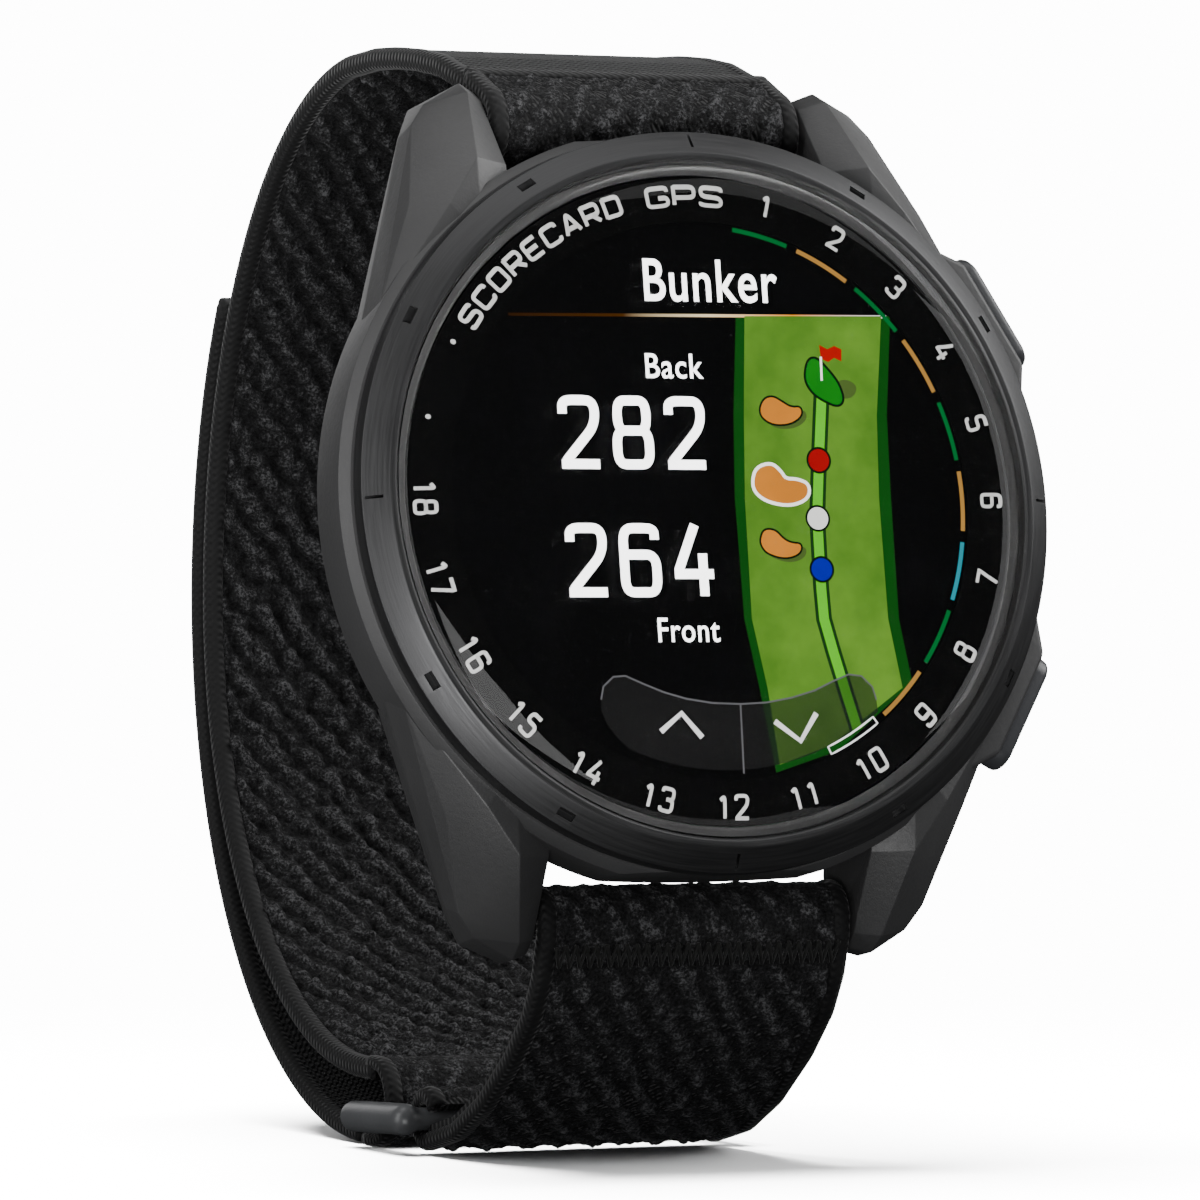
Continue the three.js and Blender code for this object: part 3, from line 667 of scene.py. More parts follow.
# Each figure is drawn in lines, 1 wide and 1.4 high, before it is given its size.
HALF_LOOP = [[(0.5, 1.4), (0, 1.4), (0, 0), (0.5, 0)]]
SMALL_LOOP = [[(0.5, 1.4), (0.05, 1.4), (0.05, 0.74), (0.5, 0.74)],
              [(0.5, 0.74), (0, 0.74), (0, 0), (0.5, 0)]]
SIX = [[(0.98, 1.15), (0.98, 1.4), (0, 1.4), (0, 0), (0.5, 0)],
       [(0.5, 0), (1, 0), (1, 0.82), (0.02, 0.82)]]
GLYPHS = {
    "0": HALF_LOOP + flipped(HALF_LOOP, True, False),
    "1": [[(0.12, 1.12), (0.5, 1.4), (0.5, 0)]],
    "2": [[(0, 1.1), (0, 1.4), (1, 1.4), (1, 0.86), (0.04, 0.06)], [(-0.1, 0), (1.08, 0)]],
    "3": [[(0, 1.15), (0, 1.4), (0.97, 1.4), (0.97, 0.74), (0.4, 0.74)],
          [(0.4, 0.74), (1, 0.74), (1, 0), (0, 0), (0, 0.26)]],
    "4": [[(0.6, 1.48), (0.02, 0.46)], [(-0.1, 0.4), (1.12, 0.4)], [(0.8, 0.85), (0.8, -0.08)]],
    "5": [[(0.95, 1.4), (0.06, 1.4), (0.03, 0.84), (1, 0.84), (1, 0), (0, 0), (0, 0.26)]],
    "6": SIX,
    "7": [[(-0.08, 1.4), (1.1, 1.4)], [(0.98, 1.36), (0.4, -0.06)]],
    "8": SMALL_LOOP + flipped(SMALL_LOOP, True, False),
    "9": flipped(SIX, True, True),
    "A": [[(0, 0), (0.44, 1.4), (0.56, 1.4), (1, 0)], [(0.17, 0.42), (0.83, 0.42)]],
    "C": [[(1, 1.08), (1, 1.4), (0, 1.4), (0, 0), (1, 0), (1, 0.32)]],
    "D": [[(0, -0.08), (0, 1.48)], [(0, 1.4), (1, 1.4), (1, 0), (0, 0)]],
    "E": [[(1, 1.4), (0, 1.4), (0, 0), (1, 0)], [(0, 0.72), (0.86, 0.72)]],
    "G": [[(1, 1.08), (1, 1.4), (0, 1.4), (0, 0), (1, 0), (1, 0.66), (0.55, 0.66)]],
    "O": HALF_LOOP + flipped(HALF_LOOP, True, False),
    "P": [[(0, 0), (0, 1.48)], [(0, 1.4), (1, 1.4), (1, 0.62), (0, 0.62)]],
    "R": [[(0, 0), (0, 1.48)], [(0, 1.4), (1, 1.4), (1, 0.62), (0, 0.62)], [(0.55, 0.62), (1, 0)]],
    "S": [[(1, 1.14), (1, 1.4), (0, 1.4), (0, 0.76), (1, 0.68), (1, 0), (0, 0), (0, 0.26)]],
}


def squarish(text, height, width, weight, gap):
    """Squared-off figures and capitals drawn with one width of line, centred on the origin."""
    pieces = []
    tall, wide = (height - weight) / 1.4, width - weight
    step = width + gap
    for i, character in enumerate(text):
        left = (i - (len(text) - 1) / 2) * step - wide / 2
        for line in GLYPHS[character]:
            line = [(left + x * wide, (y - 0.7) * tall) for x, y in softened(line)]
            pieces.append(shape("figure", stroke(line, weight), 0))
    return joined("lettering", pieces)


PRINT_R, DOT_R = 17.65, 17.75
print_pieces = []
for hole in range(1, 19):
    figures = squarish(str(hole), 1.3, 0.9, 0.2, 0.16)
    print_pieces.append(round_the_dial(figures, 15 * hole, PRINT_R, PRINT_LEVEL, hole <= 6))
for word, start, end, width in (("SCORECARD", 306, 343, 1.2), ("GPS", 352.5, 363.5, 1.5)):
    for i, letter in enumerate(word):
        angle = start + (end - start) * i / (len(word) - 1)
        capital = squarish(letter, 1.15, width, 0.23, 0)
        print_pieces.append(round_the_dial(capital, angle, PRINT_R - 0.05, PRINT_LEVEL))
for angle in (285, 300):
    a = math.radians(angle)
    x, y = DOT_R * math.sin(a), DOT_R * math.cos(a)
    print_pieces.append(rod("dot", 0.14, (x, y, PRINT_LEVEL - 0.004), (x, y, PRINT_LEVEL + 0.004), 24))
printed = joined("dial_print", print_pieces)
seat_in_head(printed)
finish(printed, glowing_pale_print)

# ---- Display ------------------------------------------------------------------------------------
# A round lit panel under the lens, showing one hole of a course: the distances to the front and
# back of a bunker, the hole's plan with its hazards, and a progress ring of eighteen holes.

SCREEN_LEVEL = -1.45


def lit(name, colour, strength=1.0):
    """A colour of the display: black glass that glows, a little unevenly."""
    material, tree, shader = principled(name)
    settle(shader, {"Base Color": (0.001, 0.001, 0.001, 1), "Roughness": 0.3, "Specular IOR Level": 0.0,
                    "Emission Strength": strength})
    shaded = node(tree, "VectorMath", {0: colour}, operation="SCALE")
    spread(tree, speckle(tree, 420, 4), 0.93, 1.07, shaded, "Scale", 0.3, 0.7)
    wire(tree, (shaded, 0, shader, "Emission Color"))
    return material


unlit_glass, tree, shader = principled("unlit display")
settle(shader, {"Base Color": (0.0015, 0.0015, 0.0016, 1), "Roughness": 0.35, "Specular IOR Level": 0.0})
spread(tree, speckle(tree, 3000), 0.3, 0.42, shader, "Roughness")
PANEL_R, PANEL_UNDER = 17.35, -2.3
panel = turned("display_panel_visual", [
    (0, PANEL_UNDER), (PANEL_R, PANEL_UNDER), (PANEL_R, SCREEN_LEVEL), (0, SCREEN_LEVEL)], 160)
smoothed(panel, 30)
seat_in_head(panel)
finish(panel, unlit_glass, replaces=["display_panel"])


def rounded(points, rounds=2):
    """An outline with its corners worn round."""
    for _ in range(rounds):
        softer = []
        for (x, y), (x2, y2) in zip(points, points[1:] + points[:1]):
            softer += [(0.75 * x + 0.25 * x2, 0.75 * y + 0.25 * y2),
                       (0.25 * x + 0.75 * x2, 0.25 * y + 0.75 * y2)]
        points = softer
    return points


def arc_band(start, end, r, width, steps=16):
    """The outline of a band along a ring, between two angles clockwise from 12 o'clock."""
    line = [(r * math.sin(math.radians(a)), r * math.cos(math.radians(a)))
            for a in np.linspace(start, end, steps)]
    return stroke(line, width)


def outlined(name, outline, level, width):
    """A closed line round an outline, as a band of short pieces."""
    left, right = stroke(outline, width, closed=True)
    count = len(outline)
    bands = [shape(name, [left[i], left[(i + 1) % count], right[(i + 1) % count], right[i]], level)
             for i in range(count)]
    return joined(name, bands)


def art(name, pieces, material):
    """Joins flat shapes into one piece of the display's picture."""
    whole = joined(name, pieces)
    seat_in_head(whole)
    return finish(whole, material)


UP = SCREEN_LEVEL + 0.02

white_light = lit("display white", (1.0, 1.0, 1.0), 5.0)
art("display_words", [
    on_dial(lettered("Bunker", 2.5, 0.01, 8.4), 0.85, 12.75, UP),
    on_dial(lettered("Back", 1.45, 0.008, 3.6), -1.78, 7.75, UP),
    on_dial(squarish("282", 4.25, 2.55, 0.56, 0.75), -4.65, 3.87, UP),
    on_dial(squarish("264", 4.25, 2.55, 0.56, 0.75), -4.68, -3.5, UP),
    on_dial(lettered("Front", 1.4, 0.008, 3.85), -1.93, -7.52, UP),
    shape("chevron", stroke([(-4.1, -13.35), (-2.75, -12.3), (-1.55, -13.7)], 0.33), UP + 0.04),
    shape("chevron", stroke([(3.05, -12.8), (4.6, -13.95), (5.7, -12.35)], 0.33), UP + 0.04),
], white_light)

# The rule under the title glows orange in its middle and fades to nothing at its ends.
title_rule = lit("display rule", (1.0, 0.42, 0.08), 1.6)
tree, shader = title_rule.node_tree, title_rule.node_tree.nodes["Principled BSDF"]
across = node(tree, "TexCoord")
across_x = node(tree, "SeparateXYZ")
rule_ramp = node(tree, "ValToRGB")
rule_shift = node(tree, "MapRange", {"From Min": -0.0119, "From Max": 0.0119})
wire(tree, (across, "Object", across_x, 0), (across_x, "X", rule_shift, "Value"),
           (rule_shift, 0, rule_ramp, 0))
for where, colour in ((0.0, (0.02, 0.006, 0.0, 1)), (0.3, (0.9, 0.3, 0.02, 1)), (0.52, (1.0, 0.8, 0.45, 1)),
                      (0.75, (0.9, 0.3, 0.02, 1)), (1.0, (0.05, 0.015, 0.0, 1))):
    if where in (0.0, 1.0):
        stop = rule_ramp.color_ramp.elements[int(where)]
    else:
        stop = rule_ramp.color_ramp.elements.new(where)
    stop.color = colour
wire(tree, (rule_ramp, 0, shader, "Emission Color"))
art("display_rule", [shape("rule", stroke([(-11.9, 10.62), (11.9, 10.82)], 0.17), UP)], title_rule)

# The hole's plan, from the ground up: rough, fairway, track, shadows, green, sand and edges.
rough_edge = [(2.3, 10.72), (12.15, 10.87), (11.5, 5.0), (11.4, 0.1), (11.38, -6.9), (11.95, -10.6),
              (7.0, -14.5), (2.95, -15.75), (2.25, -10.9), (1.58, -6.9), (1.48, 0.1), (1.75, 5.0)]
art("display_rough", [shape("rough", rough_edge, UP)],
    lit("display rough green", (0.006, 0.085, 0.006), 1.0))
meadow = lit("display fairway green", (0.1, 0.3, 0.01), 1.25)
tree, shader = meadow.node_tree, meadow.node_tree.nodes["Principled BSDF"]
mown_ramp = node(tree, "ValToRGB")
mown_ramp.color_ramp.elements[0].position, mown_ramp.color_ramp.elements[1].position = 0.35, 0.68
mown_ramp.color_ramp.elements[0].color = (0.08, 0.22, 0.018, 1)
mown_ramp.color_ramp.elements[1].color = (0.14, 0.33, 0.03, 1)
wire(tree, (speckle(tree, 260, 6, 0.6), 0, mown_ramp, 0), (mown_ramp, 0, shader, "Emission Color"))
fairway_edge = [(2.85, 10.73), (11.57, 10.86), (10.85, 5.0), (10.63, 0.14), (10.68, -6.88),
                (11.3, -10.9), (6.5, -14.2), (3.2, -15.3), (2.75, -10.9), (2.05, -6.87), (2.11, 0.09),
                (2.4, 5.0)]
art("display_fairway", [shape("fairway", fairway_edge, UP + 0.012)], meadow)
track = [(7.42, 6.3), (6.95, 2.3), (6.6, -1.0), (6.55, -5.1), (6.6, -6.9), (7.05, -8.8), (7.6, -10.9),
         (8.25, -13.3)]
art("display_track_edge", [shape("track edge", stroke(track, 1.02), UP + 0.02)],
    lit("display dark line", (0.01, 0.055, 0.01), 1.0))
art("display_track", [shape("track", stroke(track, 0.62), UP + 0.028)],
    lit("display track green", (0.1, 0.55, 0.01), 1.5))
green_edge = rounded([(6.5, 7.9), (6.35, 7.0), (6.8, 6.25), (7.5, 5.8), (8.4, 5.45), (8.85, 5.85),
                      (8.6, 6.8), (8.1, 7.5), (7.3, 8.35), (6.8, 8.35)])
bunkers = [rounded([(3.35, 5.3), (3.7, 5.95), (4.3, 6.1), (4.9, 5.75), (5.4, 5.45), (6.05, 5.5), (6.1, 4.9),
                    (5.3, 4.4), (4.2, 4.35), (3.5, 4.75)]),
           rounded([(2.6, 1.0), (2.9, 1.9), (3.9, 2.2), (4.5, 1.7), (4.75, 1.25), (5.5, 1.25), (6.25, 0.95),
                    (6.15, 0.1), (5.0, -0.35), (3.6, -0.15), (2.8, 0.35)]),
           rounded([(2.85, -2.3), (3.15, -1.65), (3.9, -1.7), (4.35, -2.2), (4.8, -2.45), (5.55, -2.5),
                    (5.4, -3.15), (4.4, -3.45), (3.3, -3.15), (2.95, -2.75)])]
spots = [(6.93, 2.34), (6.62, -1.05), (6.66, -4.02)]


def disc_outline(x, y, r, count=28):
    return [(x + r * math.cos(2 * math.pi * i / count), y + r * math.sin(2 * math.pi * i / count))
            for i in range(count)]


shadow_edges = [[(x + 0.28, y - 0.22) for x, y in rounded(b)] for b in (bunkers[0], bunkers[2])]
shadow_edges.append(rounded([(8.3, 6.9), (9.0, 7.15), (9.75, 6.75), (9.5, 6.1), (8.8, 5.9), (8.3, 6.3)]))
art("display_shadows", [shape("shadow", edge, UP + 0.03) for edge in shadow_edges],
    lit("display shadow", (0.09, 0.16, 0.03), 1.0))
art("display_green", [shape("green", green_edge, UP + 0.036)],
    lit("display putting green", (0.0, 0.24, 0.01), 1.1))
art("display_hazards", [shape("bunker", b, UP + 0.036) for b in bunkers],
    lit("display sand", (0.9, 0.3, 0.03), 1.0))
art("display_dark_lines",
    [outlined("green edge", green_edge, UP + 0.044, 0.14)]
    + [outlined("bunker edge", b, UP + 0.044, 0.12) for b in (bunkers[0], bunkers[2])]
    + [outlined("spot edge", disc_outline(x, y, 0.72), UP + 0.052, 0.13) for x, y in spots],
    lit("display black line", (0.004, 0.012, 0.004), 1.0))
art("display_chosen_bunker", [outlined("chosen edge", bunkers[1], UP + 0.046, 0.2),
                              shape("flag pole", stroke([(7.5, 8.4), (7.46, 7.0)], 0.13), UP + 0.06)],
    lit("display pale line", (1, 1, 0.95), 2.0))
for spot, colour, name in zip(spots, ((0.52, 0.0, 0.005), (1.4, 1.4, 1.35), (0.0, 0.0, 0.55)),
                              ("red", "white", "blue")):
    art("display_spot_" + name, [shape("spot", disc_outline(*spot, 0.7), UP + 0.048)],
        lit("display " + name + " spot", colour, 1.0))
art("display_flag", [shape("flag", [(7.45, 9.1), (7.95, 8.85), (8.4, 9.05), (8.85, 8.85), (8.8, 8.15),
                                    (8.35, 8.35), (7.95, 8.1), (7.5, 8.3)], UP + 0.056)],
    lit("display flag red", (0.58, 0.0, 0.0), 1.0))

# The touch keys: a smoked pill along the bottom of the display, split down the middle.
pill_rim = [(-7.69, -11.5), (-7.5, -10.75), (-6.85, -10.2), (-6.1, -10.15), (-5.0, -10.62), (-3.77, -11.1),
            (-2.4, -11.48), (-0.8, -11.73), (0.95, -11.8), (2.6, -11.72), (4.2, -11.45), (5.65, -11.05),
            (6.9, -10.5), (7.9, -10.12), (8.7, -10.22), (9.35, -10.85), (9.55, -11.6)]
lower_rim = [(15.6 * math.sin(math.radians(a)), 15.6 * math.cos(math.radians(a)))
             for a in np.linspace(142, 203, 26)] + [(-6.85, -13.65), (-7.4, -12.95), (-7.7, -12.2)]
smoked, tree, shader = principled("display smoked key")
settle(shader, {"Base Color": (0.005, 0.005, 0.005, 1), "Roughness": 0.6, "Specular IOR Level": 0.0,
                "Emission Color": (0.009, 0.009, 0.0092, 1), "Emission Strength": 1.0, "Alpha": 0.72})
art("display_keys", [shape("keys", pill_rim + lower_rim, UP + 0.066)], smoked)
art("display_key_lines", [shape("key rim", stroke(pill_rim, 0.1), UP + 0.074),
                          shape("key split", stroke([(0.95, -11.8), (0.88, -15.8)], 0.1), UP + 0.074)],
    lit("display key line", (0.16, 0.16, 0.17), 1.0))

# The progress ring: one arc for each hole, in the colour of its score.
ring_colours = {"green": ((0.0, 0.16, 0.03), (1, 3, 5, 8)), "orange": ((0.5, 0.25, 0.05), (2, 4, 6, 9)),
                "cyan": ((0.01, 0.33, 0.42), (7,))}
for name, (colour, holes) in ring_colours.items():
    art("display_ring_" + name, [shape("arc", arc_band(15 * h - 6.3, 15 * h + 6.3, 15.95, 0.26), UP + 0.05)
                                 for h in holes], lit("display ring " + name, colour, 1.1))
art("display_ring_next", [outlined("next", arc_band(143.7, 156.3, 15.85, 0.46), UP + 0.08, 0.1)],
    lit("display ring white", (0.95, 0.95, 0.95), 2.0))

# ---- Buttons ------------------------------------------------------------------------------------
# Two push keys on the three o'clock side: a moulded cap in a pocket of its guard, on a stem that
# runs through the wall, with a seal, a coil spring and a retaining clip inside.

cap_polymer = moulded("button polymer", (0.03, 0.031, 0.034), 0.42, 4200, 0.25)
for name, angle in BUTTON_ANGLES.items():
    cap = pill("cap", 7.4, 2.4, 22.7, 24.3, BUTTON_Z, 0.45)
    groove = block("groove", (0.3, 4.4, 0.14), (24.3, 0, BUTTON_Z))
    cut(cap, [groove])
    stem = broken_edges(rod("stem", 0.8, (17.9, 0, BUTTON_Z), (22.8, 0, BUTTON_Z)), 0.1, 2, 40)
    clip_groove = cut(rod("clip groove", 0.9, (18.2, 0, BUTTON_Z), (18.5, 0, BUTTON_Z)),
                      [rod("core", 0.5, (18, 0, BUTTON_Z), (19, 0, BUTTON_Z))])
    cut(stem, [clip_groove])
    key = joined(name + "_button_visual", [cap, stem])
    smoothed(key, 35)
    moved(key, at_angle(angle))
    seat_in_head(key)
    finish(key, cap_polymer, name + "_button", [name + "_button_cap"])

# ---- Rear cover, sensor window, charging port, screws -------------------------------------------
# A screwed-on polymer cover with a raised glass window over the sensors and a recessed port with
# four gilt contacts for the charging clip.

cover_polymer = moulded("rear cover polymer", (0.022, 0.022, 0.024), 0.36, 3000, 0.22)
cover = turned("rear_cover_visual", [
    (0, -8.66), (20.2, -8.66), (20.2, -9.6), (19.6, -9.95), (18.1, -10.6), (0, -10.6)], 192)
broken_edges(cover, 0.2, 3, 12)
cover_cuts = [rod("window seat", 7.26, (0, 0, -12), (0, 0, -9.6), 128),
              rod("sensor seat", 6.8, (0, 0, -11), (0, 0, -8), 96),
              block("port seat", (7.6, 4.4, 5), (0, -12.6, -10))]
SCREW_RING = 17.6
for corner in (45, 135, 225, 315):
    x = math.cos(math.radians(90 - corner)) * SCREW_RING
    y = math.sin(math.radians(90 - corner)) * SCREW_RING
    cover_cuts += [rod("screw hole", 0.75, (x, y, -12), (x, y, -8), 32),
                   rod("screw seat", 1.35, (x, y, -12), (x, y, -9.9), 48)]
cut(cover, cover_cuts)
smoothed(cover, 30)
seat_in_head(cover)
finish(cover, cover_polymer, replaces=["rear_cover"])

dark_window, tree, shader = principled("dark sensor glass")
settle(shader, {"Base Color": (0.006, 0.006, 0.008, 1), "Coat Weight": 1.0, "Coat Roughness": 0.03})
spread(tree, speckle(tree, 900), 0.05, 0.12, shader, "Roughness")
window = turned("sensor_window_visual", [
    (0, -9.66), (7.2, -9.66), (7.2, -10.7), (6.9, -10.88), (6.2, -11.03), (5.2, -11.13), (3.8, -11.19),
    (0, -11.2)], 144)
smoothed(window, 50)
seat_in_head(window)
finish(window, dark_window, replaces=["sensor_window"])

# In the face of the window: green lamps and square light cells, as thin plates. The corner cells
# sit deeper, so the domed glass covers a part of each.
lamp_green = lit("sensor lamp", (0.05, 0.5, 0.12), 0.35)
cell_grey = moulded("sensor cell", (0.07, 0.075, 0.09), 0.2, 5000, 0.1)
cell_places = ((0, 3.4), (0, -3.4), (3.4, 3.0), (-3.4, 3.0), (3.4, -3.0), (-3.4, -3.0))
for name, material, places, size in (("sensor_lamps", lamp_green, ((0, 0), (2.9, 0), (-2.9, 0)), 1.5),
                                     ("sensor_cells", cell_grey, cell_places, 1.9)):
    cells = []
    for x, y in places:
        level = -11.205 if abs(x) + abs(y) < 4 else -11.12
        cells.append(broken_edges(block("cell", (size, size, 0.03), (x, y, level)), 0.012, 1, 30))
    whole = joined(name, cells)
    seat_in_head(whole)
    finish(whole, material)

# ---- Metal, rubber and board pieces kept from the frame -----------------------------------------
# Screws, contacts, clips, springs and spring bars in steel and gilt, seals in silicone, and the
# boards, cell, motor and aerial inside the case.


def metal(name, colour, roughness, direction=(400, 6000, 6000)):
    """Bare metal with the fine drawn lines of its making."""
    material, tree, shader = principled(name)
    shader.inputs["Metallic"].default_value = 1.0
    place = node(tree, "TexCoord")
    drawn = node(tree, "VectorMath", {1: direction}, operation="MULTIPLY")
    lines = node(tree, "TexNoise", {"Scale": 1, "Detail": 4})
    shaded = node(tree, "VectorMath", {0: colour}, operation="SCALE")
    bump = node(tree, "Bump", {"Distance": 0.00001, "Strength": 0.3})
    spread(tree, lines, roughness * 0.7, roughness * 1.3, shader, "Roughness")
    spread(tree, lines, 0.85, 1.1, shaded, "Scale")
    wire(tree, (place, "Object", drawn, 0), (drawn, 0, lines, "Vector"),
               (shaded, 0, shader, "Base Color"), (lines, 0, bump, "Height"), (bump, 0, shader, "Normal"))
    return material


steel = metal("drawn stainless steel", (0.55, 0.55, 0.57), 0.28)
gilt = metal("gilt contact", (0.85, 0.6, 0.25), 0.25, (5000, 5000, 5000))
foil = metal("cell foil", (0.5, 0.51, 0.53), 0.4, (900, 900, 900))
silicone = moulded("silicone seal", (0.012, 0.012, 0.012), 0.7, 2500, 0.15)
inner_polymer = moulded("inner frame polymer", (0.02, 0.02, 0.02), 0.55)
board_green = moulded("solder mask", (0.012, 0.07, 0.03), 0.4, 5200, 0.1, 0.3)
fired = moulded("fired ceramic", (0.6, 0.56, 0.48), 0.5, 2600, 0.3, 0.1)
button_and_bar = ("button_clip", "button_spring", "button_switch", "bar_tube", "bar_fixed_tip",
                  "bar_sliding_tip", "bar_spring")
kept = (
    (steel, ["rear_screw_%d" % i for i in range(1, 5)] + ["vibration_motor"]
        + [end + piece for end in ("upper_", "lower_") for piece in button_and_bar]),
    (gilt, ["charge_pin_%d" % i for i in range(1, 5)] + ["display_lead"]),
    (foil, ["battery"]),
    (silicone, ["lens_gasket", "rear_gasket", "upper_button_seal", "lower_button_seal"]),
    (inner_polymer, ["inner_frame", "charge_port"]),
    (board_green, ["main_board", "sensor_board"]),
    (fired, ["gps_antenna"]),
)


def coated(part_name, material):
    """Gives a piece that is kept from the frame its material."""
    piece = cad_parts[part_name]
    piece.data.materials.clear()
    piece.data.materials.append(material)


for material, part_names in kept:
    for part_name in part_names:
        coated(part_name, material)

# ---- Strap: shared sheet work -------------------------------------------------------------------
# The strap is woven nylon with dense loop pile on one face and a fine flat mesh on the other, its
# edges bound by smooth hems. Each length is modelled flat, then bent along its run.

STRAP_W = 19.6
FACE_Y, FACE_Z = -34.0, 5.5
UPPER_BAR = (12.123, 21.569)
LOWER_BAR = (4.865, -24.259)
RING_FRONT, RING_REAR = (20.7, -36.5), (28.6, -36.8)


def loop_arc(depth, rise, start, end, count):
    """Part of the oval that the strap makes round the wrist, as points behind and above the face."""
    return [(30.3 + depth * math.cos(math.radians(a)), -5.6 + rise * math.sin(math.radians(a)))
            for a in np.linspace(start, end, count)]


def run(points, smooth=5):
    """A strap's run behind and above the face, as evenly spaced points, their side and its length."""
    points = np.array(points, float)
    steps = np.r_[0, np.cumsum(np.hypot(*np.diff(points, axis=0).T))]
    s = np.arange(0, steps[-1], 0.1)
    line = np.stack([np.interp(s, steps, points[:, i]) for i in (0, 1)], 1)
    for _ in range(smooth):
        line[1:-1] = (line[:-2] + 2 * line[1:-1] + line[2:]) / 4
    s = np.r_[0, np.cumsum(np.hypot(*np.diff(line, axis=0).T))]
    along = np.gradient(line, axis=0)
    along /= np.linalg.norm(along, axis=1)[:, None]
    return s, line, np.stack([along[:, 1], -along[:, 0]], 1)


def bent(piece, course):
    """Bends a flat piece along a run: X is the way along, Y across, and Z towards the wrist."""
    s, line, side = course
    flat = np.array([v.co for v in piece.data.vertices]) / MM
    at = np.clip(flat[:, 0], 0, s[-1])
    over = flat[:, 0] - at
    y = np.interp(at, s, line[:, 0])
    z = np.interp(at, s, line[:, 1])
    ny = np.interp(at, s, side[:, 0])
    nz = np.interp(at, s, side[:, 1])
    grown = np.hypot(ny, nz)
    ny, nz = ny / grown, nz / grown
    world_y = FACE_Y + y + ny * flat[:, 2] - nz * over
    world_z = FACE_Z + z + nz * flat[:, 2] + ny * over
    placed = np.stack([flat[:, 1], world_y, world_z], 1) * MM
    piece.data.vertices.foreach_set("co", placed.ravel())
    piece.data.update()
    return piece


def cloth(name, start, end, half, step, level=0.0):
    """A flat sheet from start to end along its run, with its own map in millimetres."""
    rows = max(2, int((end - start) / step))
    columns = max(2, int(2 * half / step))
    bpy.ops.object.select_all(action="DESELECT")
    bpy.ops.mesh.primitive_grid_add(x_subdivisions=rows, y_subdivisions=columns, size=1, calc_uvs=True)
    piece = named(name)
    co = np.array([v.co for v in piece.data.vertices])
    co[:, 0] = start + (co[:, 0] + 0.5) * (end - start)
    co[:, 1] *= 2 * half
    co[:, 2] = level
    piece.data.vertices.foreach_set("co", (co * MM).ravel())
    piece.data.update()
    layer = piece.data.uv_layers.active.data
    for loop in piece.data.loops:
        layer[loop.index].uv = (co[loop.vertex_index][0], co[loop.vertex_index][1])
    return piece


def thickened(piece, thickness, offset, edge=0.0):
    """Gives a sheet its thickness, to one side of it, and breaks its edges."""
    take(piece)
    solidify = piece.modifiers.new("thickness", "SOLIDIFY")
    solidify.thickness = thickness * MM
    solidify.offset = offset
    bpy.ops.object.modifier_apply(modifier=solidify.name)
    if edge:
        broken_edges(piece, edge, 3, 50)
    return piece


def cell_noise(x, y, seed, jitter=0.8):
    """Distance to the nearest scattered point, and that point's own chance number."""
    near, chance = np.full(x.shape, 9.0), np.zeros(x.shape)
    for i in (-1, 0, 1):
        for j in (-1, 0, 1):
            cx, cy = np.floor(x) + i, np.floor(y) + j
            h = np.sin(cx * 127.1 + cy * 311.7 + seed * 74.7) * 43758.5453
            h2 = np.sin(cx * 269.5 + cy * 183.3 + seed * 19.3) * 28001.8384
            h, h2 = h - np.floor(h), h2 - np.floor(h2)
            d = np.hypot(x - cx - 0.5 - jitter * (h - 0.5), y - cy - 0.5 - jitter * (h2 - 0.5))
            chance = np.where(d < near, h, chance)
            near = np.minimum(near, d)
    return near, chance


def value_noise(x, y, seed):
    """A smooth chance height over the sheet, from 0 to 1."""
    ix, iy = np.floor(x), np.floor(y)
    fx, fy = x - ix, y - iy
    fx, fy = fx * fx * (3 - 2 * fx), fy * fy * (3 - 2 * fy)

    def corner(a, b):
        h = np.sin(a * 127.1 + b * 311.7 + seed * 53.3) * 43758.5453
        return h - np.floor(h)
    low = corner(ix, iy) * (1 - fx) + corner(ix + 1, iy) * fx
    high = corner(ix, iy + 1) * (1 - fx) + corner(ix + 1, iy + 1) * fx
    return low * (1 - fy) + high * fy


def pile_height(s, w, seed, lean):
    """Tufts of looped yarn in slanting ribs, in shares of the pile's full height."""
    u = s * 0.82 + lean * w * 0.57
    v = -lean * s * 0.57 + w * 0.82
    wander = 0.55 * (value_noise(s * 0.55, w * 0.55, seed + 5) - 0.5)
    rib = 0.5 + 0.5 * np.cos((v + wander) * 2 * math.pi / 1.75)
    near, chance = cell_noise(u / 0.95, (v + wander) / 0.8, seed, 0.9)
    tuft = np.clip(1 - 1.35 * near, 0, 1) ** 0.75
    small, chance2 = cell_noise(s / 0.46 + 7, w / 0.46, seed + 11, 0.95)
    fluff = np.clip(1 - 1.25 * small, 0, 1)
    fray = value_noise(s * 3.3, w * 3.3, seed + 2)
    return np.clip((0.38 + 0.62 * rib) * (0.3 + 0.7 * tuft * (0.55 + 0.45 * chance))
                   + 0.30 * fluff * chance2 + 0.22 * fray - 0.16, 0, 1)
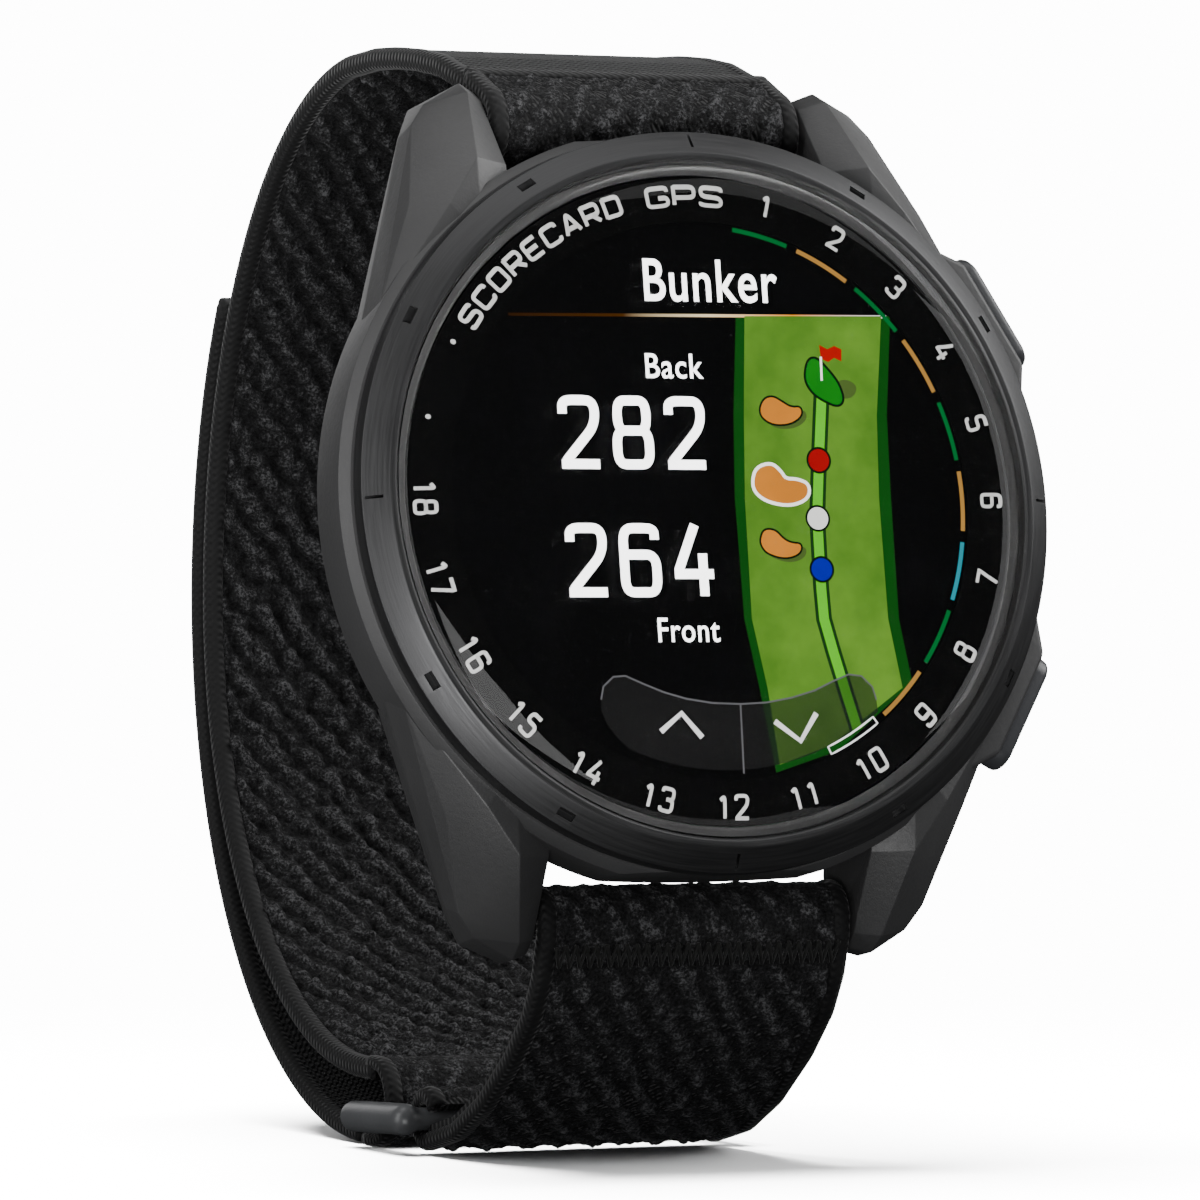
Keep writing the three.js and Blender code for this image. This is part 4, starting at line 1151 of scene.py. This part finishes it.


# The pile: near-black yarn, hairy at the tips of its loops. Its colour holds painted shade in its hollows
# and a painted highlight at its loop tips, both from the pile's height, and fine noise scatters paler
# specks over it as painted glints.
pile_material, tree, shader = principled("loop pile")
depth = node(tree, "Attribute", attribute_name="pile")
fuzz = node(tree, "TexNoise", {"Scale": 5200, "Detail": 6, "Roughness": 0.75})
strands = node(tree, "TexVoronoi", {"Scale": 3400}, feature="F1")
fuzz_place = node(tree, "TexCoord")
# Painted shade and highlight: the pile's height, times scattered painted glints, picks the yarn's colour
# from dark to pale.
height_shade_with_specks = node(tree, "Math", operation="MULTIPLY")
speck_highlights = node(tree, "MapRange", {"From Min": 0.4, "From Max": 0.7, "To Min": 0.25, "To Max": 1.9})
pile_shade_ramp = node(tree, "ValToRGB")
pile_shade_ramp.color_ramp.elements[0].position = 0.08
pile_shade_ramp.color_ramp.elements[0].color = (0.000264, 0.000264, 0.000297, 1)
pile_shade_ramp.color_ramp.elements[1].position = 0.95
pile_shade_ramp.color_ramp.elements[1].color = (0.1, 0.1, 0.103, 1)
middle = pile_shade_ramp.color_ramp.elements.new(0.5)
middle.color = (0.018, 0.018, 0.0188, 1)
yarn_bump = node(tree, "Bump", {"Strength": 0.9, "Distance": 0.0003})
stranded = node(tree, "Math", operation="SUBTRACT")
wire(tree, (fuzz_place, "Object", fuzz, "Vector"), (fuzz_place, "Object", strands, "Vector"),
           (fuzz, 0, speck_highlights, "Value"), (depth, "Fac", height_shade_with_specks, 0), (speck_highlights, 0, height_shade_with_specks, 1),
           (height_shade_with_specks, 0, pile_shade_ramp, 0), (pile_shade_ramp, 0, shader, "Base Color"), (fuzz, 0, stranded, 0),
           (strands, "Distance", stranded, 1), (stranded, 0, yarn_bump, "Height"),
           (yarn_bump, 0, shader, "Normal"))
settle(shader, {"Roughness": 0.9, "Specular IOR Level": 0.25, "Sheen Weight": 0.015,
                "Sheen Roughness": 0.45})


def woven(name, colour, across, along, depth_mm, sheen=0.02, twill=0.0):
    """Flat weave on the piece's own map: crossing threads of given spacing in millimetres."""
    material, tree, shader = principled(name)
    place = node(tree, "TexCoord")
    split = node(tree, "SeparateXYZ")
    wire(tree, (place, "UV", split, 0))

    def wave(axis, spacing, slant=0.0):
        lean = node(tree, "Math", {1: slant}, operation="MULTIPLY_ADD")
        other = "Y" if axis == "X" else "X"
        wire(tree, (split, other, lean, 0), (split, axis, lean, 2))
        scaled = node(tree, "Math", {1: 2 * math.pi / spacing}, operation="MULTIPLY")
        wire(tree, (lean, 0, scaled, 0))
        sine = node(tree, "Math", operation="SINE")
        wire(tree, (scaled, 0, sine, 0))
        return sine
    warp, weft = wave("X", across, twill), wave("Y", along, 0.0)
    threads = node(tree, "Math", operation="MULTIPLY")
    wire(tree, (warp, 0, threads, 0), (weft, 0, threads, 1))
    rows = node(tree, "Math", {1: 0.6}, operation="MULTIPLY_ADD")
    wire(tree, (warp, 0, rows, 0), (threads, 0, rows, 2))
    lint = node(tree, "TexNoise", {"Scale": 2600, "Detail": 5})
    wire(tree, (place, "Object", lint, "Vector"))
    height = node(tree, "Math", operation="ADD")
    wire(tree, (rows, 0, height, 0), (lint, 0, height, 1))
    bump = node(tree, "Bump", {"Strength": 0.8, "Distance": depth_mm * MM})
    wire(tree, (height, 0, bump, "Height"), (bump, 0, shader, "Normal"))
    # Painted shade and highlight: the weave is darker in the gaps between its threads and paler on their
    # crests, from the same height as its bump, with a little random lint.
    tone = node(tree, "MapRange", {"From Min": -1.4, "From Max": 2.4, "To Min": 0.25, "To Max": 1.7})
    wire(tree, (height, 0, tone, "Value"))
    shaded = node(tree, "VectorMath", {0: colour}, operation="SCALE")
    wire(tree, (tone, 0, shaded, "Scale"), (shaded, 0, shader, "Base Color"))
    settle(shader, {"Roughness": 0.75, "Specular IOR Level": 0.35, "Sheen Weight": sheen,
                    "Sheen Roughness": 0.4})
    return material


mesh_weave = woven("flat mesh weave", (0.002805, 0.002805, 0.00297), 0.62, 0.42, 0.1, 0.08, 0.35)
hem_weave = woven("hem weave", (0.0033, 0.0033, 0.003465), 0.5, 0.5, 0.03, 0.1)
stitching = woven("bar tack thread", (0.0033, 0.00363, 0.00297), 0.25, 0.5, 0.04, 0.1)


def pile_sheet(name, course, start, end, level, height, seed, body, lean=1.0, step=0.22, inwards=1):
    """One face of looped pile between the hems, raised from its backing."""
    half = STRAP_W / 2 - 0.75
    piece = cloth(name, start, end, half, step)
    flat = np.array([v.co for v in piece.data.vertices]) / MM
    rise = pile_height(flat[:, 0], flat[:, 1], seed, lean)
    edge = np.clip((half - np.abs(flat[:, 1])) / 0.5, 0, 1) * np.clip((flat[:, 0] - start) / 0.6, 0, 1) \
        * np.clip((end - flat[:, 0]) / 0.6, 0, 1)
    edge = edge * edge * (3 - 2 * edge)
    flat[:, 2] = level + inwards * height * rise * edge
    piece.data.vertices.foreach_set("co", (flat * MM).ravel())
    # The pile attribute is painted shade: low where the pile is low and near its edges, high at its tips.
    shade = piece.data.attributes.new("pile", "FLOAT", "POINT")
    shade.data.foreach_set("value", (0.15 + 0.85 * rise * np.clip(edge + 0.25, 0, 1)).astype(np.float32))
    piece.data.update()
    bent(piece, course)
    take(piece)
    bpy.ops.object.shade_smooth()
    if inwards < 0:
        edit(bpy.ops.mesh.flip_normals)
    return finish(piece, pile_material, body)


def band(name, course, start, end, outer, inner, body, replaces=(), step=0.35):
    """The strap's backing: a flat band between two levels over its run, shaded smooth along its bends."""
    piece = cloth(name, start, end, STRAP_W / 2 - 0.35, step, inner)
    thickened(piece, inner - outer, -1.0)
    bent(piece, course)
    smoothed(piece, 40)
    return finish(piece, mesh_weave, body, replaces)


def hems(name, course, start, end, outer, inner, body, ends=(False, False), width=1.15):
    """The bound edges: a smooth rounded tape down both sides, and across an end that is cut."""
    sides, count = 14, max(8, int((end - start) / 0.5))
    pieces = []
    for side in (-1, 1):
        bpy.ops.object.select_all(action="DESELECT")
        bpy.ops.mesh.primitive_grid_add(x_subdivisions=count, y_subdivisions=sides, size=1, calc_uvs=True)
        tape = named(name)
        co = np.array([v.co for v in tape.data.vertices])
        around = 2 * math.pi * (co[:, 1] + 0.5)
        along = start + (co[:, 0] + 0.5) * (end - start)
        thick, middle_level = (inner - outer) / 2, (inner + outer) / 2
        c, s = np.cos(around), np.sin(around)
        flat = np.stack([along,
                         side * (STRAP_W / 2 - width / 2) + width / 2 * np.sign(c) * np.abs(c) ** 0.7,
                         middle_level + thick * np.sign(s) * np.abs(s) ** 0.7], 1)
        tape.data.vertices.foreach_set("co", (flat * MM).ravel())
        layer = tape.data.uv_layers.active.data
        for loop in tape.data.loops:
            i = loop.vertex_index
            layer[loop.index].uv = (along[i], around[i] * 0.5)
        tape.data.update()
        bent(tape, course)
        take(tape)
        edit(lambda: bpy.ops.mesh.remove_doubles(threshold=2e-6),
             lambda: bpy.ops.mesh.fill_holes(sides=0), face_out)
        bpy.ops.object.shade_smooth()
        pieces.append(tape)
    for at, wanted in zip((start, end), ends):
        if not wanted:
            continue
        tape = cloth(name, at - width / 2, at + width / 2, STRAP_W / 2 - 0.1, 0.28, outer)
        thickened(tape, inner - outer, 1.0, 0.35)
        bent(tape, course)
        take(tape)
        bpy.ops.object.shade_smooth()
        pieces.append(tape)
    whole = joined(name, pieces)
    return finish(whole, hem_weave, body)

# ---- Long strap ---------------------------------------------------------------------------------
# Sewn round the upper spring bar, it runs over the top and down the back of the wrist, through the
# buckle and round its rear bar. The pile is on the wrist side, the flat mesh outside.


def round_bar(middle, r, start, end, step=12):
    """Points on the way round a bar, between two angles."""
    count = max(2, int(abs(end - start) / step))
    return [(middle[0] + r * math.cos(math.radians(a)), middle[1] + r * math.sin(math.radians(a)))
            for a in np.linspace(start, end, count)]


KNOB_ACROSS, KNOB_UP, KNOB_BACK = (-9.0, -4.7), (22.1, 24.3), (-12.2, -9.0)


def notched(piece, side_y):
    """Clears the wrapped end round the release knob of its spring bar, for all its travel."""
    take(piece)
    inverse = HEAD.inverted()
    bpy.ops.object.mode_set(mode="EDIT")
    bpy.ops.mesh.select_all(action="DESELECT")
    bpy.ops.object.mode_set(mode="OBJECT")
    for face in piece.data.polygons:
        at = inverse @ face.center / MM
        face.select = (KNOB_ACROSS[0] < at.x < KNOB_ACROSS[1]
                       and KNOB_UP[0] < side_y * at.y < KNOB_UP[1]
                       and KNOB_BACK[0] < at.z < KNOB_BACK[1])
    bpy.ops.object.mode_set(mode="EDIT")
    bpy.ops.mesh.delete(type="FACE")
    bpy.ops.object.mode_set(mode="OBJECT")
    return piece


over_the_top = [(UPPER_BAR[0] - 0.6, UPPER_BAR[1] + 2.05), (UPPER_BAR[0] + 3.2, UPPER_BAR[1] + 3.7),
                (18.5, 26.25), (22.0, 26.8), (25.5, 27.15), (28.8, 27.3)]
long_run = run(over_the_top + loop_arc(27.3, 32.9, 84, 2, 40) + loop_arc(27.3, 29.1, 0, -90, 40)
               + [(28.5, -34.72)])
long_length = long_run[0][-1]
band("long_strap_backing", long_run, 0.6, long_length - 0.2, 0.12, 0.95, "long_strap_end", ["long_strap"])
pile_sheet("long_strap_pile", long_run, 1.2, long_length - 1.5, 0.9, 0.95, 3, "long_strap_end", step=0.19)
hems("long_strap_hems", long_run, 0.6, long_length - 0.2, 0.0, 1.35, "long_strap_end")

WRAP_R, SEWN_DOWN = 2.1, 4.6
upper_wrap = run(round_bar(UPPER_BAR, WRAP_R, 322, 104) + over_the_top[1:3], 3)
flap_end = upper_wrap[0][-1] - SEWN_DOWN
notched(band("upper_wrap_backing", upper_wrap, 0.1, flap_end, -0.2, 0.75, "long_strap_end"), 1)
notched(pile_sheet("upper_wrap_pile", upper_wrap, 0.3, flap_end - 0.3, -0.05, 0.6, 8, "long_strap_end",
                   step=0.17, inwards=-1), 1)
hems("upper_wrap_hems", upper_wrap, 0.1, flap_end, -0.4, 0.8, "long_strap_end", (False, True))

FOLD_MIDDLE, FOLD_R = (28.6, -35.975), 2.675
fold_run = run([(30.3, -38.65)] + round_bar(FOLD_MIDDLE, FOLD_R, 270, 90) + [(30.0, -33.28)], 2)
fold_length = fold_run[0][-1]
band("buckle_fold_backing", fold_run, 0.15, fold_length - 0.3, 0.1, 0.75, "long_strap_end")
pile_sheet("buckle_fold_pile", fold_run, 0.15, fold_length - 0.5, 0.15, 0.3, 14, "long_strap_end",
           step=0.18, inwards=-1)
hems("buckle_fold_hems", fold_run, 0.1, fold_length - 0.3, -0.05, 0.8, "long_strap_end")

# ---- Folded-back end of the strap ---------------------------------------------------------------
# Past the buckle the strap turns back on itself, pile outwards, and its squared end is held to the
# strap by a patch of hook tape.

tail_run = run(loop_arc(29.4, 34.2, 33, 1, 12) + loop_arc(29.4, 33.0, 0, -89.2, 40))
tail_length = tail_run[0][-1]
band("strap_tail_backing", tail_run, 0.3, tail_length - 0.15, 0.3, 1.1, "folded_tail", ["strap_tail"])
pile_sheet("strap_tail_pile", tail_run, 1.0, tail_length - 0.15, 0.35, 0.75, 21, "folded_tail",
           lean=-1.0, step=0.2, inwards=-1)
hems("strap_tail_hems", tail_run, 0.2, tail_length - 0.1, 0.0, 1.2, "folded_tail", (True, False))

hook_tape, tree, shader = principled("hook tape")
hook_place = node(tree, "TexCoord")
hook_cells = node(tree, "TexVoronoi", {"Scale": 2200})
hook_tone = node(tree, "ValToRGB")
hook_tone.color_ramp.elements[0].color = (0.03, 0.03, 0.03, 1)
hook_tone.color_ramp.elements[1].color = (0.004, 0.004, 0.004, 1)
hook_bump = node(tree, "Bump", {"Distance": 0.0002})
wire(tree, (hook_place, "Object", hook_cells, "Vector"), (hook_cells, 0, hook_tone, 0),
           (hook_tone, 0, shader, "Base Color"), (hook_cells, 0, hook_bump, "Height"),
           (hook_bump, 0, shader, "Normal"))
shader.inputs["Roughness"].default_value = 0.6
coated("hook_patch", hook_tape)

# ---- Short strap --------------------------------------------------------------------------------
# Sewn round the buckle's front bar and the lower spring bar, with its pile outwards. A bar tack
# crosses it just below the spring bar.

short_run = run(round_bar(RING_FRONT, 1.85, 150, -86)
                + [(16.2, -37.4), (12.0, -35.5), (7.8, -32.6), (5.0, -30.0), (3.5, -27.6), (2.8, -25.2)]
                + round_bar(LOWER_BAR, WRAP_R, 176, -35), 6)
short_length = short_run[0][-1]
roll_start, lining_end = short_length - 10.4, short_length - 11.5
notched(band("short_strap_backing", short_run, 0.1, short_length - 0.1, 0.1, 0.8, "short_strap_end",
             ["short_strap"]), -1)
pile_sheet("short_strap_pile", short_run, 0.2, roll_start + 0.3, 0.2, 0.5, 33, "short_strap_end",
           lean=-1.0, step=0.16, inwards=-1)
notched(pile_sheet("lower_roll_pile", short_run, roll_start, short_length - 0.3, 0.12, 0.24, 34,
                   "short_strap_end", lean=-1.0, step=0.16, inwards=-1), -1)
hems("short_strap_hems", short_run, 0.1, short_length - 0.1, -0.1, 1.0, "short_strap_end")
band("short_strap_lining", short_run, 5.8, lining_end, 0.8, 1.35, "short_strap_end")

# The bar tack: a row of slanting threads across the strap, each bent with it.
TACK_RISE, TACK_THREADS, TACK_PITCH, TACK_SLANT = -26.2, 56, 0.318, 14
s, line, side = short_run
tack_at = s[np.argmin(np.abs(line[:, 1] - TACK_RISE) + np.where(line[:, 0] < 6, 0, 50))]
threads = []
bpy.ops.object.select_all(action="DESELECT")
bpy.ops.mesh.primitive_cylinder_add(vertices=8, radius=0.00013, depth=0.0013, rotation=(0, math.pi / 2, 0))
thread = named("tack thread")
fix_place()
broken_edges(thread, 0.06, 2, 40)
for i in range(TACK_THREADS):
    take(thread)
    bpy.ops.object.duplicate(linked=False)
    stitch = named("tack thread")
    across = (i - (TACK_THREADS - 1) / 2) * TACK_PITCH
    stitch.matrix_world = Matrix.Translation(Vector((tack_at + 0.12 * (i % 2), across, -0.32)) * MM) \
        @ Matrix.Rotation(math.radians(TACK_SLANT if i % 2 else -TACK_SLANT), 4, "Z")
    fix_place()
    threads.append(bent(stitch, short_run))
bpy.data.objects.remove(thread)
finish(joined("bar_tack", threads), stitching, "short_strap_end")

# ---- Buckle -------------------------------------------------------------------------------------
# One moulded loop of grey polymer: two round bars and two thicker sides. The short strap is sewn
# round its front bar, and the long strap is folded round its rear one.

BUCKLE_SIDE, BAR_R, SIDE_R = 10.8, 0.7, 0.95
buckle_polymer = moulded("buckle polymer", (0.085, 0.087, 0.09), 0.38, 2800, 0.15, 0.1)
bar_places = [(FACE_Y + y, FACE_Z + z) for y, z in (RING_FRONT, RING_REAR)]
bars = [rod("bar", BAR_R, (-BUCKLE_SIDE, *place), (BUCKLE_SIDE, *place)) for place in bar_places]
for x in (-BUCKLE_SIDE, BUCKLE_SIDE):
    bars.append(rod("side", SIDE_R, (x, *bar_places[0]), (x, *bar_places[1])))
    for place in bar_places:
        bpy.ops.object.select_all(action="DESELECT")
        bpy.ops.mesh.primitive_uv_sphere_add(segments=32, ring_count=16, radius=SIDE_R * MM,
                                             location=Vector((x, *place)) * MM)
        bars.append(named("side end"))
        fix_place()
buckle = joined("buckle_ring_visual", bars)
take(buckle)
fused = buckle.modifiers.new("fused", "REMESH")
fused.mode = "VOXEL"
fused.voxel_size = 0.00013
bpy.ops.object.modifier_apply(modifier=fused.name)
eased = buckle.modifiers.new("eased", "SMOOTH")
eased.factor, eased.iterations = 0.5, 12
bpy.ops.object.modifier_apply(modifier=eased.name)
bpy.ops.object.shade_smooth()
finish(buckle, buckle_polymer, "buckle", ["buckle_ring"])
